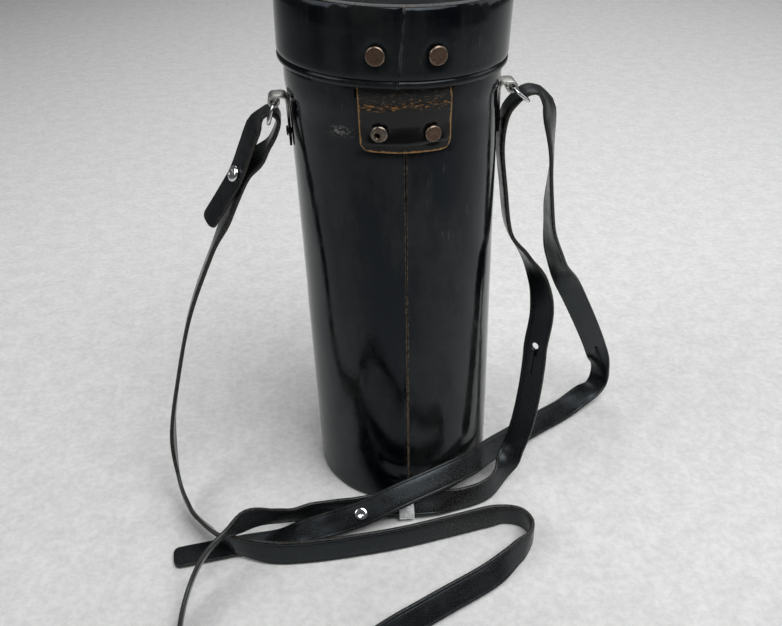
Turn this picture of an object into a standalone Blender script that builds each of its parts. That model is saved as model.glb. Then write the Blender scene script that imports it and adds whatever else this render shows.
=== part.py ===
"""Leather carrying case: a cylinder with a hinged lid, strap rings and a long shoulder strap.

Metres, +Z up. The case stands on its base with the origin at the centre of its underside.
The leather hinge is at -Y, the closing tab at +Y and the strap lugs are at -X and +X.
"""

import math

import bmesh
import bpy
from mathutils import Matrix, Vector

MM = 0.001

# Fits
SEAT_GAP = 0.3 * MM
HOLE_CLEARANCE = 0.3 * MM
CUT_MARGIN = 2.0 * MM
ROUND_STEPS = 60
RIVET_STEPS = 14

# Case body: its straight wall flares under a mouth band that holds the collar
BODY_RADIUS = 50.5 * MM
BODY_FLARE = 1.2 * MM
BODY_WALL = 2.2 * MM
BODY_HEIGHT = 248.0 * MM
MOUTH_BAND = 12.0 * MM
MOUTH_ROUND_HEIGHT = 0.6 * MM
MOUTH_ROUND_DEPTH = 0.5 * MM
FLARE_HEIGHT = 8.0 * MM
FLARE_END = BODY_HEIGHT - MOUTH_BAND
FLARE_START = FLARE_END - FLARE_HEIGHT
BODY_FOOT_ROUND = 1.6 * MM
BODY_SEAM_START = 44.0 * MM
BODY_SEAM_DEPTH = 1.2 * MM
BODY_SEAM_GAPE = 1.2 * MM
BODY_SEAM_CLOSED = 0.3 * MM
BASE_THICKNESS = 3.0 * MM
BASE_PAD_THICKNESS = 2.0 * MM
BASE_EDGE = 0.4 * MM

# Mouth collar inside the body
COLLAR_WALL = 1.6 * MM
COLLAR_RISE = 6.0 * MM
COLLAR_EDGE = 0.5 * MM
COLLAR_TOP = BODY_HEIGHT + COLLAR_RISE

# Lid: it slips over the mouth
LID_FIT = 0.45 * MM
LID_WALL = 2.35 * MM
LID_OVERLAP = 3.3 * MM
LID_HEIGHT = 33.3 * MM
LID_RADIUS = BODY_RADIUS + BODY_FLARE + LID_FIT + LID_WALL
LID_BOTTOM = BODY_HEIGHT - LID_OVERLAP
LID_TOP = LID_BOTTOM + LID_HEIGHT
LID_HEM_HEIGHT = 3.4 * MM
LID_HEM_INSET = 1.5 * MM
LID_CREASE_DEPTH = 0.4 * MM
LID_CREASE_WIDTH = 0.9 * MM
LID_SHOULDER_HEIGHT = 4.4 * MM
LID_SHOULDER_FLAT = 0.4 * MM
LID_SHOULDER_STEP = 0.3 * MM
LID_SEAM_DEPTH = 0.8 * MM
LID_SEAM_GAPE = 0.6 * MM
LID_SEAM_SHIFT = 1.8 * MM
LID_DISC_DROP = 0.2 * MM
LID_DISC_THICKNESS = 2.6 * MM
LID_DISC_CROWN = 0.5 * MM
LID_DISC_EDGE = 0.3 * MM
LID_PAD_THICKNESS = 1.5 * MM
LID_PAD_MARGIN = 3.0 * MM

# Leather hinge at the back
HINGE_WIDTH = 42.0 * MM
HINGE_TAPER = 1.2 * MM
HINGE_LEATHER = 2.0 * MM
HINGE_CREASE_RISE = 3.0 * MM
HINGE_DROP = 23.0 * MM
HINGE_TOP_DROP = 9.0 * MM
HINGE_CREASE = FLARE_END + HINGE_CREASE_RISE
HINGE_BOTTOM = HINGE_CREASE - HINGE_DROP
HINGE_TOP = LID_TOP - HINGE_TOP_DROP
HINGE_CORNER = 4.0 * MM
HINGE_NOTCH_SIDE = 1.0 * MM
HINGE_NOTCH_DROP = 0.3 * MM
HINGE_AXIS_STANDOFF = 0.1 * MM
LEAF_CORNER_MARGIN = 0.5 * MM

# Rivets of the hinge
LID_RIVET_DIAMETER = 8.4 * MM
LID_RIVET_RISE = 14.1 * MM
LID_RIVET_HEIGHT = LID_BOTTOM + LID_RIVET_RISE
LID_RIVET_MARGIN = 7.9 * MM
LID_RIVET_SPACING = HINGE_WIDTH - 2.0 * LID_RIVET_MARGIN
HINGE_RIVET_DIAMETER = 7.5 * MM
HINGE_RIVET_DROP = 3.2 * MM
HINGE_RIVET_HEIGHT = FLARE_START - HINGE_RIVET_DROP
HINGE_RIVET_MARGIN = 9.2 * MM
HINGE_RIVET_SPACING = HINGE_WIDTH - 2.0 * HINGE_RIVET_MARGIN
RIVET_DOME = 1.5 * MM
RIVET_SHANK = 3.0 * MM
RIVET_BURR = 5.2 * MM
RIVET_BURR_THICKNESS = 0.7 * MM

# Strap lugs on the straight wall just under the flare, and their rings
LUG_DROP = 1.4 * MM
LUG_STANDOFF = 7.2 * MM
LUG_SHEET = 1.2 * MM
LUG_BORE = 3.4 * MM
LUG_LENGTH = 10.0 * MM
LUG_PLATE_LENGTH = 22.1 * MM
LUG_BEND_DROP = 1.6 * MM
LUG_BEND_REACH = 0.9 * MM
LUG_NECK_REACH = 2.6 * MM
LUG_RIVET_RISE = 6.0 * MM
LUG_HEIGHT = FLARE_START - LUG_DROP
LUG_PLATE_BOTTOM = LUG_HEIGHT - LUG_PLATE_LENGTH
LUG_RIVET_HEIGHT = LUG_PLATE_BOTTOM + LUG_RIVET_RISE
LUG_RIVET_DIAMETER = 5.0 * MM
LUG_RIVET_DOME = 0.9 * MM
RING_WIRE = 1.8 * MM
RING_WIDTH = 17.2 * MM
RING_LENGTH = 10.0 * MM
RING_CORNER = 3.0 * MM
LEFT_RING_LEAN = 20.0
RIGHT_RING_LEAN = 50.0

# Closing tab at the front: its press stud sits on the straight wall just under the flare
TAB_WIDTH = 24.0 * MM
TAB_LEATHER = 2.0 * MM
TAB_TOP_DROP = 8.0 * MM
TAB_FLEX_RISE = 1.7 * MM
TAB_TAIL = 10.4 * MM
TAB_CORNER = 11.0 * MM
TAB_RIVET_RISE = 17.3 * MM
TAB_RIVET_SPACING = 12.0 * MM
TAB_RIVET_DIAMETER = 6.0 * MM
SNAP_DROP = 5.6 * MM
SNAP_HEIGHT = FLARE_START - SNAP_DROP
TAB_TOP = LID_TOP - TAB_TOP_DROP
TAB_FLEX = LID_BOTTOM + TAB_FLEX_RISE
TAB_BOTTOM = SNAP_HEIGHT - TAB_TAIL
TAB_RIVET_HEIGHT = LID_BOTTOM + TAB_RIVET_RISE
SNAP_CAP_DIAMETER = 12.0 * MM
SNAP_CAP_DOME = 2.0 * MM
SNAP_CAP_EDGE = 0.4 * MM
SNAP_SOCKET_DIAMETER = 9.6 * MM
SNAP_SOCKET_THICKNESS = 0.9 * MM
SNAP_KNOB_DIAMETER = 5.0 * MM
SNAP_KNOB_EDGE = 0.4 * MM
SNAP_FLANGE_DIAMETER = 9.6 * MM
SNAP_FLANGE_THICKNESS = 0.7 * MM

# Shoulder strap
STRAP_WIDTH = 14.0 * MM
STRAP_THICKNESS = 2.2 * MM
STRAP_STEP = 6.0 * MM
STRAP_END_ROUND = 3.5 * MM
STRAP_HOLE_DIAMETER = 4.2 * MM
STRAP_TAIL_HOLE_DIAMETER = 1.6 * MM
STRAP_SLIT_WIDTH = 0.8 * MM
BUTTON_SLIT_LENGTH = 18.0 * MM
OUTER_SLIT_LENGTH = 16.0 * MM
STRAP_LAYER_PLAY = 0.9 * MM
STUD_DIAMETER = 8.6 * MM
STUD_DOME = 1.9 * MM
STUD_EDGE = 0.4 * MM
STUD_SHANK = 3.2 * MM
STUD_BACK_DIAMETER = 7.0 * MM
STUD_BACK_THICKNESS = 1.0 * MM
STUD_BACK_ROUND_HEIGHT = 0.3 * MM
STUD_BACK_ROUND_DEPTH = 0.4 * MM
KEEPER_LENGTH = 8.5 * MM
KEEPER_SHEET = 0.8 * MM
KEEPER_CLEARANCE = 0.5 * MM
KEEPER_CORNER = 0.9 * MM

# Directions across the strap's width along its route
NEAR = (0.0, -1.0, 0.0)
FAR = (0.0, 1.0, 0.0)
UPRIGHT = (0.0, 0.0, 1.0)
LEANING = (0.0, 0.7, 0.7)
STEEP = (0.0, 0.4, 0.92)
SHALLOW = (0.0, 0.88, 0.47)
TURNED_LEFT = (0.4, -0.9, -0.2)
TURNING_LEFT = (0.2, -0.97, -0.1)
ROLLING_UP = (0.15, -0.55, 0.8)
FAR_RIGHT = (0.3, 0.95, 0.0)
FACING_INNER = (-0.87, 0.3, 0.0)
FACING_OUTER = (-0.85, 0.0, -0.53)
TURNING_BACK = (-0.58, 0.81, -0.1)
LYING_BACK = (-0.25, 0.85, 0.45)
TWIST_INNER = (-0.6, 0.8, 0.0)
TWIST_INNER_END = (-0.25, 0.97, 0.0)
TWIST_OUTER_START = (-0.25, 0.95, -0.15)
TWIST_OUTER = (-0.65, 0.6, -0.4)

# Route of the strap from its left end to its loose tail: x, y, z in millimetres, width direction and,
# where something sits there, the name of the place
STRAP_ROUTE = (
    (-98.2, 0.0, 163.8, TURNED_LEFT),
    (-89.0, 0.4, 176.3, TURNED_LEFT),
    (-80.3, 0.5, 189.1, TURNED_LEFT, "left_stud"),
    (-74.3, 0.5, 201.7, TURNED_LEFT),
    (-69.0, 0.3, 213.0, TURNED_LEFT),
    (-63.8, 0.0, 220.0, NEAR),
    (-59.2, 0.0, 221.2, NEAR),
    (-56.3, 0.0, 217.8, NEAR),
    (-57.6, 0.0, 212.4, NEAR),
    (-61.9, 0.2, 204.9, NEAR),
    (-69.4, 0.6, 196.9, TURNED_LEFT),
    (-78.0, 1.8, 187.8, TURNED_LEFT, "left_stud_inner"),
    (-87.6, 0.0, 167.2, TURNING_LEFT),
    (-98.0, -3.0, 149.0, NEAR),
    (-114.0, -6.0, 115.0, NEAR),
    (-126.0, -9.0, 78.0, NEAR),
    (-135.0, -16.0, 42.0, NEAR),
    (-134.0, -32.0, 17.0, ROLLING_UP),
    (-127.0, -49.0, 9.5, ROLLING_UP),
    (-118.0, -62.0, 9.6, UPRIGHT),
    (-109.0, -73.0, 10.4, UPRIGHT),
    (-99.0, -80.0, 10.0, UPRIGHT),
    (-80.0, -84.0, 6.6, LEANING),
    (-64.0, -84.5, 6.4, LEANING),
    (-43.0, -84.0, 6.4, LEANING),
    (-12.0, -81.5, 6.4, LEANING),
    (20.0, -76.5, 6.5, LEANING),
    (38.0, -74.5, 7.2, STEEP),
    (49.0, -74.8, 7.4, UPRIGHT),
    (57.5, -78.5, 7.5, UPRIGHT),
    (61.0, -86.5, 7.5, UPRIGHT),
    (58.0, -94.5, 7.5, UPRIGHT),
    (49.0, -102.5, 7.4, STEEP),
    (33.0, -114.0, 6.4, LEANING),
    (7.0, -127.0, 6.4, LEANING),
    (-15.0, -138.0, 6.6, LEANING),
    (-45.0, -153.0, 7.5, STEEP),
    (-78.0, -161.0, 7.6, UPRIGHT),
    (-106.0, -158.0, 7.6, UPRIGHT),
    (-122.0, -144.0, 7.6, UPRIGHT),
    (-125.0, -126.0, 7.6, UPRIGHT),
    (-122.0, -109.0, 12.5, UPRIGHT),
    (-115.0, -97.0, 20.5, UPRIGHT),
    (-105.0, -87.0, 25.2, UPRIGHT),
    (-94.0, -76.0, 23.5, UPRIGHT),
    (-82.0, -65.0, 18.6, UPRIGHT),
    (-71.0, -58.8, 12.6, STEEP),
    (-56.0, -56.0, 8.0, LEANING),
    (-36.0, -57.6, 7.6, LEANING),
    (-17.0, -59.6, 7.6, LEANING),
    (-5.0, -60.2, 7.6, LEANING, "keeper"),
    (7.0, -60.8, 7.6, LEANING),
    (26.0, -58.6, 7.2, LEANING),
    (42.0, -53.5, 7.0, LEANING),
    (53.0, -46.0, 9.6, LEANING),
    (60.0, -39.0, 20.0, LEANING),
    (65.0, -34.0, 36.0, FACING_INNER),
    (69.0, -29.0, 56.0, FACING_INNER),
    (72.5, -25.0, 74.0, FACING_INNER),
    (74.3, -22.9, 83.6, FACING_INNER, "button_hole"),
    (77.5, -19.0, 104.0, FACING_INNER),
    (75.5, -14.0, 121.0, TWIST_INNER),
    (68.0, -9.0, 136.0, TWIST_INNER_END),
    (59.4, -6.0, 150.0, FAR),
    (55.6, -4.0, 176.0, FAR),
    (55.0, -2.0, 197.0, FAR),
    (57.0, -1.0, 212.0, FAR),
    (60.4, -0.5, 219.0, FAR),
    (65.0, -0.5, 223.0, FAR),
    (70.0, -0.5, 223.6, FAR),
    (74.5, -0.5, 220.0, FAR),
    (78.5, -0.5, 211.0, FAR_RIGHT),
    (82.0, 1.0, 186.0, FAR_RIGHT),
    (84.5, 5.0, 150.0, TWIST_OUTER_START),
    (92.0, 10.0, 120.0, TWIST_OUTER),
    (106.0, 16.0, 92.0, FACING_OUTER),
    (118.0, 21.0, 67.0, FACING_OUTER),
    (129.0, 27.0, 42.0, FACING_OUTER, "outer_slit"),
    (136.5, 32.0, 20.0, TURNING_BACK),
    (133.0, 28.0, 9.4, TURNING_BACK),
    (121.0, 20.5, 7.6, LYING_BACK),
    (105.0, 9.5, 6.6, LEANING),
    (88.0, -0.5, 7.0, LEANING),
    (66.0, -16.0, 10.0, LEANING),
    (50.0, -30.0, 15.0, LEANING),
    (36.0, -44.0, 19.6, LEANING),
    (20.0, -53.0, 20.6, LEANING),
    (5.0, -58.6, 19.4, LEANING),
    (-9.0, -62.6, 17.0, LEANING),
    (-20.0, -65.4, 14.0, LEANING),
    (-31.0, -67.6, 11.0, LEANING, "tail_stud"),
    (-43.0, -69.0, 8.6, LEANING),
    (-60.0, -70.2, 5.2, SHALLOW),
    (-78.0, -71.8, 2.2, FAR),
    (-95.0, -72.5, 1.6, FAR),
    (-112.0, -74.5, 1.6, FAR, "tail_hole"),
    (-131.0, -77.0, 1.6, FAR),
)
# Pieces that move with the lid, and pieces that move with the closing flap
LID_PIECES = (
    "lid_wall", "lid_top_disc", "lid_pad", "hinge_upper_leaf", "lid_rivet_left", "lid_rivet_right",
    "closing_tab_anchor", "closing_tab_rivet_left", "closing_tab_rivet_right",
)
FLAP_PIECES = ("closing_tab_flap", "snap_cap", "snap_socket")


def clear_scene():
    """Remove every object of the scene that the script starts in."""
    for obj in list(bpy.data.objects):
        bpy.data.objects.remove(obj, do_unlink=True)


def finish_material(name, colour, roughness, metallic=0.0):
    """Make one Principled material."""
    material = bpy.data.materials.new(name)
    material.use_nodes = True
    shader = material.node_tree.nodes["Principled BSDF"]
    shader.inputs["Base Color"].default_value = (*colour, 1.0)
    shader.inputs["Roughness"].default_value = roughness
    shader.inputs["Metallic"].default_value = metallic
    return material


def add_object(name, mesh_builder, material, matrix=None):
    """Turn a bmesh into a named object, shaded smooth apart from its sharp edges."""
    bmesh.ops.recalc_face_normals(mesh_builder, faces=mesh_builder.faces)
    mesh = bpy.data.meshes.new(name)
    mesh_builder.to_mesh(mesh)
    mesh_builder.free()
    mesh.materials.append(material)
    mesh.shade_smooth()
    mesh.set_sharp_from_angle(angle=math.radians(35.0))
    obj = bpy.data.objects.new(name, mesh)
    bpy.context.scene.collection.objects.link(obj)
    if matrix is not None:
        obj.matrix_world = matrix
    return obj


def cut(target, cutter):
    """Subtract a hidden guide solid from an object."""
    cutter.hide_render = True
    cutter.display_type = "WIRE"
    modifier = target.modifiers.new(cutter.name, "BOOLEAN")
    modifier.operation = "DIFFERENCE"
    modifier.solver = "EXACT"
    modifier.object = cutter


def turned(profile, steps=ROUND_STEPS):
    """Revolve a profile of (radius, height) about Z; a profile that ends on the axis is left open there."""
    builder = bmesh.new()
    on_axis = profile[0][0] == 0.0 and profile[-1][0] == 0.0
    verts = [builder.verts.new((radius, 0.0, height)) for radius, height in profile]
    ends = verts[1:] if on_axis else verts[1:] + verts[:1]
    edges = [builder.edges.new(pair) for pair in zip(verts, ends)]
    bmesh.ops.spin(
        builder,
        geom=verts + edges,
        axis=(0.0, 0.0, 1.0),
        cent=(0.0, 0.0, 0.0),
        angle=math.tau,
        steps=steps,
        use_merge=True,
    )
    bmesh.ops.remove_doubles(builder, verts=builder.verts, dist=0.001 * MM)
    return builder


def loft(sections, closed=False):
    """Skin a row of equal sections; the ends are capped unless the row is closed."""
    builder = bmesh.new()
    rings = [[builder.verts.new(point) for point in section] for section in sections]
    count = len(rings[0])
    followers = rings[1:] + rings[:1] if closed else rings[1:]
    for ring, follower in zip(rings, followers):
        for index in range(count):
            after = (index + 1) % count
            builder.faces.new((ring[index], ring[after], follower[after], follower[index]))
    if not closed:
        builder.faces.new(rings[0])
        builder.faces.new(rings[-1])
    return builder


def arc(centre, radii, start, end, steps):
    """Points of an elliptical arc between two angles in degrees."""
    points = []
    for index in range(steps + 1):
        angle = math.radians(start + (end - start) * index / steps)
        points.append((centre[0] + radii[0] * math.cos(angle), centre[1] + radii[1] * math.sin(angle)))
    return points


def body_radius(height):
    """Outer radius of the case wall at a height; the wall flares to take the collar."""
    if height <= FLARE_START:
        return BODY_RADIUS
    share = min(1.0, (height - FLARE_START) / (FLARE_END - FLARE_START))
    return BODY_RADIUS + BODY_FLARE * share


def around(angle, radius, height):
    """Point at an angle from the back (-Y) towards +X, on a radius, at a height."""
    return Vector((radius * math.sin(angle), -radius * math.cos(angle), height))


def outward_matrix(angle, radius, height):
    """Matrix that takes local +Z to the outward radial direction at a place on the wall."""
    outward = around(angle, 1.0, 0.0)
    up = Vector((0.0, 0.0, 1.0))
    across = up.cross(outward)
    turn = Matrix((across, up, outward)).transposed().to_4x4()
    return Matrix.Translation(around(angle, radius, height)) @ turn


def rivet_profile(diameter, dome, grip, shank=RIVET_SHANK, burr=RIVET_BURR):
    """Rivet outline: domed head above the wall, shank through it, burr inside."""
    half = diameter / 2.0
    edge = dome * 0.25
    head = [(0.0, dome)] + arc((0.0, edge), (half, dome - edge), 75.0, 0.0, 5)
    return head + [
        (half, 0.0),
        (shank / 2.0, 0.0),
        (shank / 2.0, -grip),
        (burr / 2.0, -grip),
        (burr / 2.0, -grip - RIVET_BURR_THICKNESS),
        (0.0, -grip - RIVET_BURR_THICKNESS),
    ]


def hole_through(name, material, angle, outer, inner, height, diameter):
    """Guide cylinder for a hole through a wall, from outside to inside."""
    margin = CUT_MARGIN
    half = diameter / 2.0 + HOLE_CLEARANCE
    length = outer - inner
    profile = [(0.0, margin), (half, margin), (half, -length - margin), (0.0, -length - margin)]
    return add_object(name, turned(profile, RIVET_STEPS), material, outward_matrix(angle, outer, height))


def wall_rivet(name, material, targets, angle, height, outer, inner, diameter, dome, guide_material):
    """A rivet that grips a wall between two radii, with its hole in every layer it passes."""
    seat = outer + SEAT_GAP
    grip = seat - inner + SEAT_GAP
    matrix = outward_matrix(angle, seat, height)
    rivet = add_object(name, turned(rivet_profile(diameter, dome, grip), RIVET_STEPS), material, matrix)
    guide = hole_through(name + "_hole", guide_material, angle, seat, inner, height, RIVET_SHANK)
    for target in targets:
        cut(target, guide)
    return rivet


def make_body_shell(material):
    """Case wall: a tube with a rounded foot and a mouth that flares to hold the collar."""
    foot = BODY_FOOT_ROUND
    outer = arc((BODY_RADIUS - foot, foot), (foot, foot), 270.0, 360.0, 4)
    outer += [(BODY_RADIUS, FLARE_START), (BODY_RADIUS + BODY_FLARE, FLARE_END)]
    outer += [(BODY_RADIUS + BODY_FLARE, BODY_HEIGHT - MOUTH_ROUND_HEIGHT)]
    outer += [(BODY_RADIUS + BODY_FLARE - MOUTH_ROUND_DEPTH, BODY_HEIGHT)]
    inner_mouth = BODY_RADIUS + BODY_FLARE - BODY_WALL
    inner = [(inner_mouth, BODY_HEIGHT), (inner_mouth, FLARE_END)]
    inner += [(BODY_RADIUS - BODY_WALL, FLARE_START), (BODY_RADIUS - BODY_WALL, 0.0)]
    return add_object("body_shell", turned(outer + inner), material)


def hinge_notch(material):
    """Guide for the notch in the case mouth where the hinge leather passes into the lid."""
    floor = HINGE_CREASE - HINGE_NOTCH_DROP
    half_angle = (HINGE_WIDTH / 2.0 + HINGE_NOTCH_SIDE) / (BODY_RADIUS + BODY_FLARE)
    low = BODY_RADIUS - BODY_WALL - CUT_MARGIN
    high = BODY_RADIUS + BODY_FLARE + CUT_MARGIN
    top = BODY_HEIGHT + CUT_MARGIN
    sections = []
    for index in range(13):
        angle = half_angle * (index / 6.0 - 1.0)
        corners = ((low, floor), (high, floor), (high, top), (low, top))
        sections.append([around(angle, radius, height) for radius, height in corners])
    return add_object("hinge_notch", loft(sections), material)


def seam_guide(name, material, radius, depth, shift, low, high, gapes):
    """Guide for the groove of a butt seam at the back; gapes gives its width at the low and high ends."""
    sections = []
    for height, gape in zip((low, high), gapes):
        corners = ((radius - depth, -0.5), (radius + CUT_MARGIN, -0.5), (radius + CUT_MARGIN, 0.5), (radius - depth, 0.5))
        sections.append([around((shift + side * gape) / radius, reach, height) for reach, side in corners])
    return add_object(name, loft(sections), material)


def cut_seams(body_shell, lid_wall, guide):
    """Open the butt seams where the rolled walls of the case and of the lid meet at the back."""
    gapes = (BODY_SEAM_CLOSED, BODY_SEAM_GAPE)
    cut(body_shell, seam_guide(
        "body_seam", guide, BODY_RADIUS, BODY_SEAM_DEPTH, 0.0, BODY_SEAM_START, FLARE_START, gapes
    ))
    low = LID_BOTTOM + LID_HEM_HEIGHT + LID_CREASE_WIDTH
    high = LID_TOP - LID_SHOULDER_HEIGHT
    gapes = (LID_SEAM_GAPE, LID_SEAM_GAPE)
    cut(lid_wall, seam_guide(
        "lid_seam", guide, LID_RADIUS, LID_SEAM_DEPTH, -LID_SEAM_SHIFT, low, high, gapes
    ))


def make_base(leather, felt):
    """Leather base disc inside the wall's foot, with a felt pad on it."""
    rim = BODY_RADIUS - BODY_WALL - SEAT_GAP
    top = BASE_THICKNESS
    edge = BASE_EDGE
    add_object(
        "base_disc",
        turned([(0.0, top), (rim - edge, top), (rim, top - edge), (rim, edge), (rim - edge, 0.0), (0.0, 0.0)]),
        leather,
    )
    low = BASE_THICKNESS + SEAT_GAP
    high = low + BASE_PAD_THICKNESS
    add_object("base_pad", turned([(0.0, high), (rim - edge, high), (rim, high - edge), (rim, low), (0.0, low)]), felt)


def make_collar(material):
    """Thin collar glued inside the mouth, standing up into the lid."""
    outer = BODY_RADIUS + BODY_FLARE - BODY_WALL - SEAT_GAP
    inner = outer - COLLAR_WALL
    edge = COLLAR_EDGE
    bottom = FLARE_END + SEAT_GAP
    profile = [
        (inner + edge, COLLAR_TOP),
        (outer - edge, COLLAR_TOP),
        (outer, COLLAR_TOP - edge),
        (outer, bottom),
        (inner, bottom),
        (inner, COLLAR_TOP - edge),
    ]
    return add_object("mouth_collar", turned(profile), material)


def make_lid_wall(material):
    """Lid skirt: rounded hem with a crease line above it, and a rounded top shoulder."""
    inner = LID_RADIUS - LID_WALL
    crease = LID_BOTTOM + LID_HEM_HEIGHT
    groove = LID_CREASE_WIDTH / 2.0
    shoulder = LID_TOP - LID_SHOULDER_HEIGHT
    shoulder_round = LID_WALL - LID_SHOULDER_FLAT
    hem_round = (LID_HEM_INSET, LID_HEM_HEIGHT - groove)
    outer = [(inner, LID_TOP - LID_SHOULDER_STEP)]
    outer += arc((LID_RADIUS - shoulder_round, shoulder), (shoulder_round, LID_SHOULDER_HEIGHT), 90.0, 0.0, 6)
    outer += [(LID_RADIUS, crease + groove), (LID_RADIUS - LID_CREASE_DEPTH, crease)]
    outer += arc((LID_RADIUS - LID_HEM_INSET, crease - groove), hem_round, 0.0, -90.0, 4)
    outer += [(inner, LID_BOTTOM)]
    return add_object("lid_wall", turned(outer), material)


def make_lid_top(leather, felt):
    """Lid disc set inside the skirt's top edge, with a felt pad under it."""
    rim = LID_RADIUS - LID_WALL - SEAT_GAP
    edge = LID_DISC_EDGE
    top = LID_TOP - LID_DISC_DROP
    bottom = top - LID_DISC_THICKNESS
    crown = top + LID_DISC_CROWN
    profile = [(0.0, crown), (rim * 0.5, crown - LID_DISC_CROWN * 0.2), (rim * 0.9, top + LID_DISC_CROWN * 0.25)]
    profile += [(rim - edge, top), (rim, top - edge), (rim, bottom), (0.0, bottom)]
    add_object("lid_top_disc", turned(profile), leather)
    high = bottom - SEAT_GAP
    low = high - LID_PAD_THICKNESS
    pad = rim - LID_PAD_MARGIN
    add_object("lid_pad", turned([(0.0, high), (pad, high), (pad, low + edge), (pad - edge, low), (0.0, low)]), felt)


def leather_leaf(name, material, half_width, rows, corner, round_bottom, facing):
    """A leather leaf bent round the case.

    rows gives (inner radius, outer radius, height) from bottom to top, and facing is the angle of its middle.
    """
    columns = 16
    sections = []
    bottom = rows[0][2]
    for index in range(columns + 1):
        share = 2.0 * index / columns - 1.0
        across = math.copysign(1.0 - (1.0 - abs(share)) ** 1.6, share) * half_width
        from_side = half_width - abs(across)
        lift = 0.0
        if round_bottom and from_side < corner:
            lift = corner - math.sqrt(corner**2 - (corner - from_side) ** 2)
        outline = []
        for inner, outer, height in rows:
            outline.append((outer, max(height, bottom + lift + (height - bottom) * 0.01)))
        for inner, outer, height in reversed(rows):
            outline.append((inner, max(height, bottom + lift + (height - bottom) * 0.01)))
        middle = rows[0][1]
        sections.append([around(facing + across / middle, radius, height) for radius, height in outline])
    return add_object(name, loft(sections), material)


def make_hinge(leather):
    """The hinge leather in two leaves that meet at its crease: one on the case, one inside the lid."""
    half = HINGE_WIDTH / 2.0
    thick = HINGE_LEATHER
    lower = []
    corner_top = HINGE_BOTTOM + HINGE_CORNER + LEAF_CORNER_MARGIN
    for height in (HINGE_BOTTOM, corner_top, FLARE_START, FLARE_END, HINGE_CREASE - SEAT_GAP / 2.0):
        seat = body_radius(height) + SEAT_GAP
        lower.append((seat, seat + thick, height))
    lower_leaf = leather_leaf("hinge_lower_leaf", leather, half - HINGE_TAPER / 2.0, lower, HINGE_CORNER, True, 0.0)
    outside = body_radius(HINGE_CREASE) + SEAT_GAP
    inside = LID_RADIUS - LID_WALL - SEAT_GAP - thick
    upper = [
        (outside, outside + thick, HINGE_CREASE + SEAT_GAP / 2.0),
        (inside, inside + thick, LID_BOTTOM - SEAT_GAP),
        (inside, inside + thick, HINGE_TOP),
    ]
    upper_leaf = leather_leaf("hinge_upper_leaf", leather, half, upper, HINGE_CORNER, False, 0.0)
    return lower_leaf, upper_leaf


def spread(spacing, radius):
    """Names and angles of a left and right pair at a spacing round the wall."""
    half_angle = spacing / 2.0 / radius
    return (("left", -half_angle), ("right", half_angle))


def make_hinge_rivets(copper, guide, lower_leaf, upper_leaf, body_shell, lid_wall):
    """Two rivets through the lid wall and upper leaf, two through the lower leaf and case wall."""
    inside = LID_RADIUS - LID_WALL - SEAT_GAP - HINGE_LEATHER
    for side, angle in spread(LID_RIVET_SPACING, LID_RADIUS):
        wall_rivet(
            "lid_rivet_" + side, copper, (lid_wall, upper_leaf), angle, LID_RIVET_HEIGHT,
            LID_RADIUS, inside, LID_RIVET_DIAMETER, RIVET_DOME, guide,
        )
    seat = body_radius(HINGE_RIVET_HEIGHT) + SEAT_GAP + HINGE_LEATHER
    for side, angle in spread(HINGE_RIVET_SPACING, seat):
        wall_rivet(
            "hinge_rivet_" + side, copper, (lower_leaf, body_shell), angle, HINGE_RIVET_HEIGHT,
            seat, BODY_RADIUS - BODY_WALL, HINGE_RIVET_DIAMETER, RIVET_DOME, guide,
        )


def ribbon(path, widths, width, thickness, closed=False, shares=None):
    """Sweep a flat strip along points.

    widths gives the direction across the strip at each point, and shares how much of its width it has there.
    """
    sections = []
    last = len(path) - 1
    for index, point in enumerate(path):
        before = path[index - 1] if index > 0 or closed else path[0]
        after = path[(index + 1) % len(path)] if index < last or closed else path[last]
        along = (after - before).normalized()
        across = widths[index] - along * widths[index].dot(along)
        across.normalize()
        face = along.cross(across)
        share = shares[index] if shares else 1.0
        half = across * (width / 2.0 * share)
        depth = face * (thickness / 2.0)
        sections.append([point - half - depth, point + half - depth, point + half + depth, point - half + depth])
    return loft(sections, closed)


def lug_knuckle_centre(side):
    """Centre of a lug's rolled knuckle; side is -1 for left and 1 for right."""
    return Vector((side * (BODY_RADIUS + LUG_STANDOFF), 0.0, LUG_HEIGHT))


def make_lug(name, side, steel):
    """Lug of one folded sheet: a plate on the case wall that rolls over into a knuckle for the ring."""
    plate = BODY_RADIUS + SEAT_GAP + LUG_SHEET / 2.0
    centre = lug_knuckle_centre(1.0)
    roll = LUG_BORE / 2.0 + LUG_SHEET / 2.0
    line = [(plate, LUG_PLATE_BOTTOM), (plate, LUG_RIVET_HEIGHT), (plate, LUG_HEIGHT - LUG_BEND_DROP)]
    line += [(plate + LUG_BEND_REACH, LUG_HEIGHT + roll * 0.7), (plate + LUG_NECK_REACH, LUG_HEIGHT + roll)]
    line += arc((centre.x, centre.z), (roll, roll), 90.0, -190.0, 14)
    path = [Vector((side * x, 0.0, z)) for x, z in line]
    widths = [Vector((0.0, 1.0, 0.0))] * len(path)
    return add_object(name, ribbon(path, widths, LUG_LENGTH, LUG_SHEET), steel)


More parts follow.
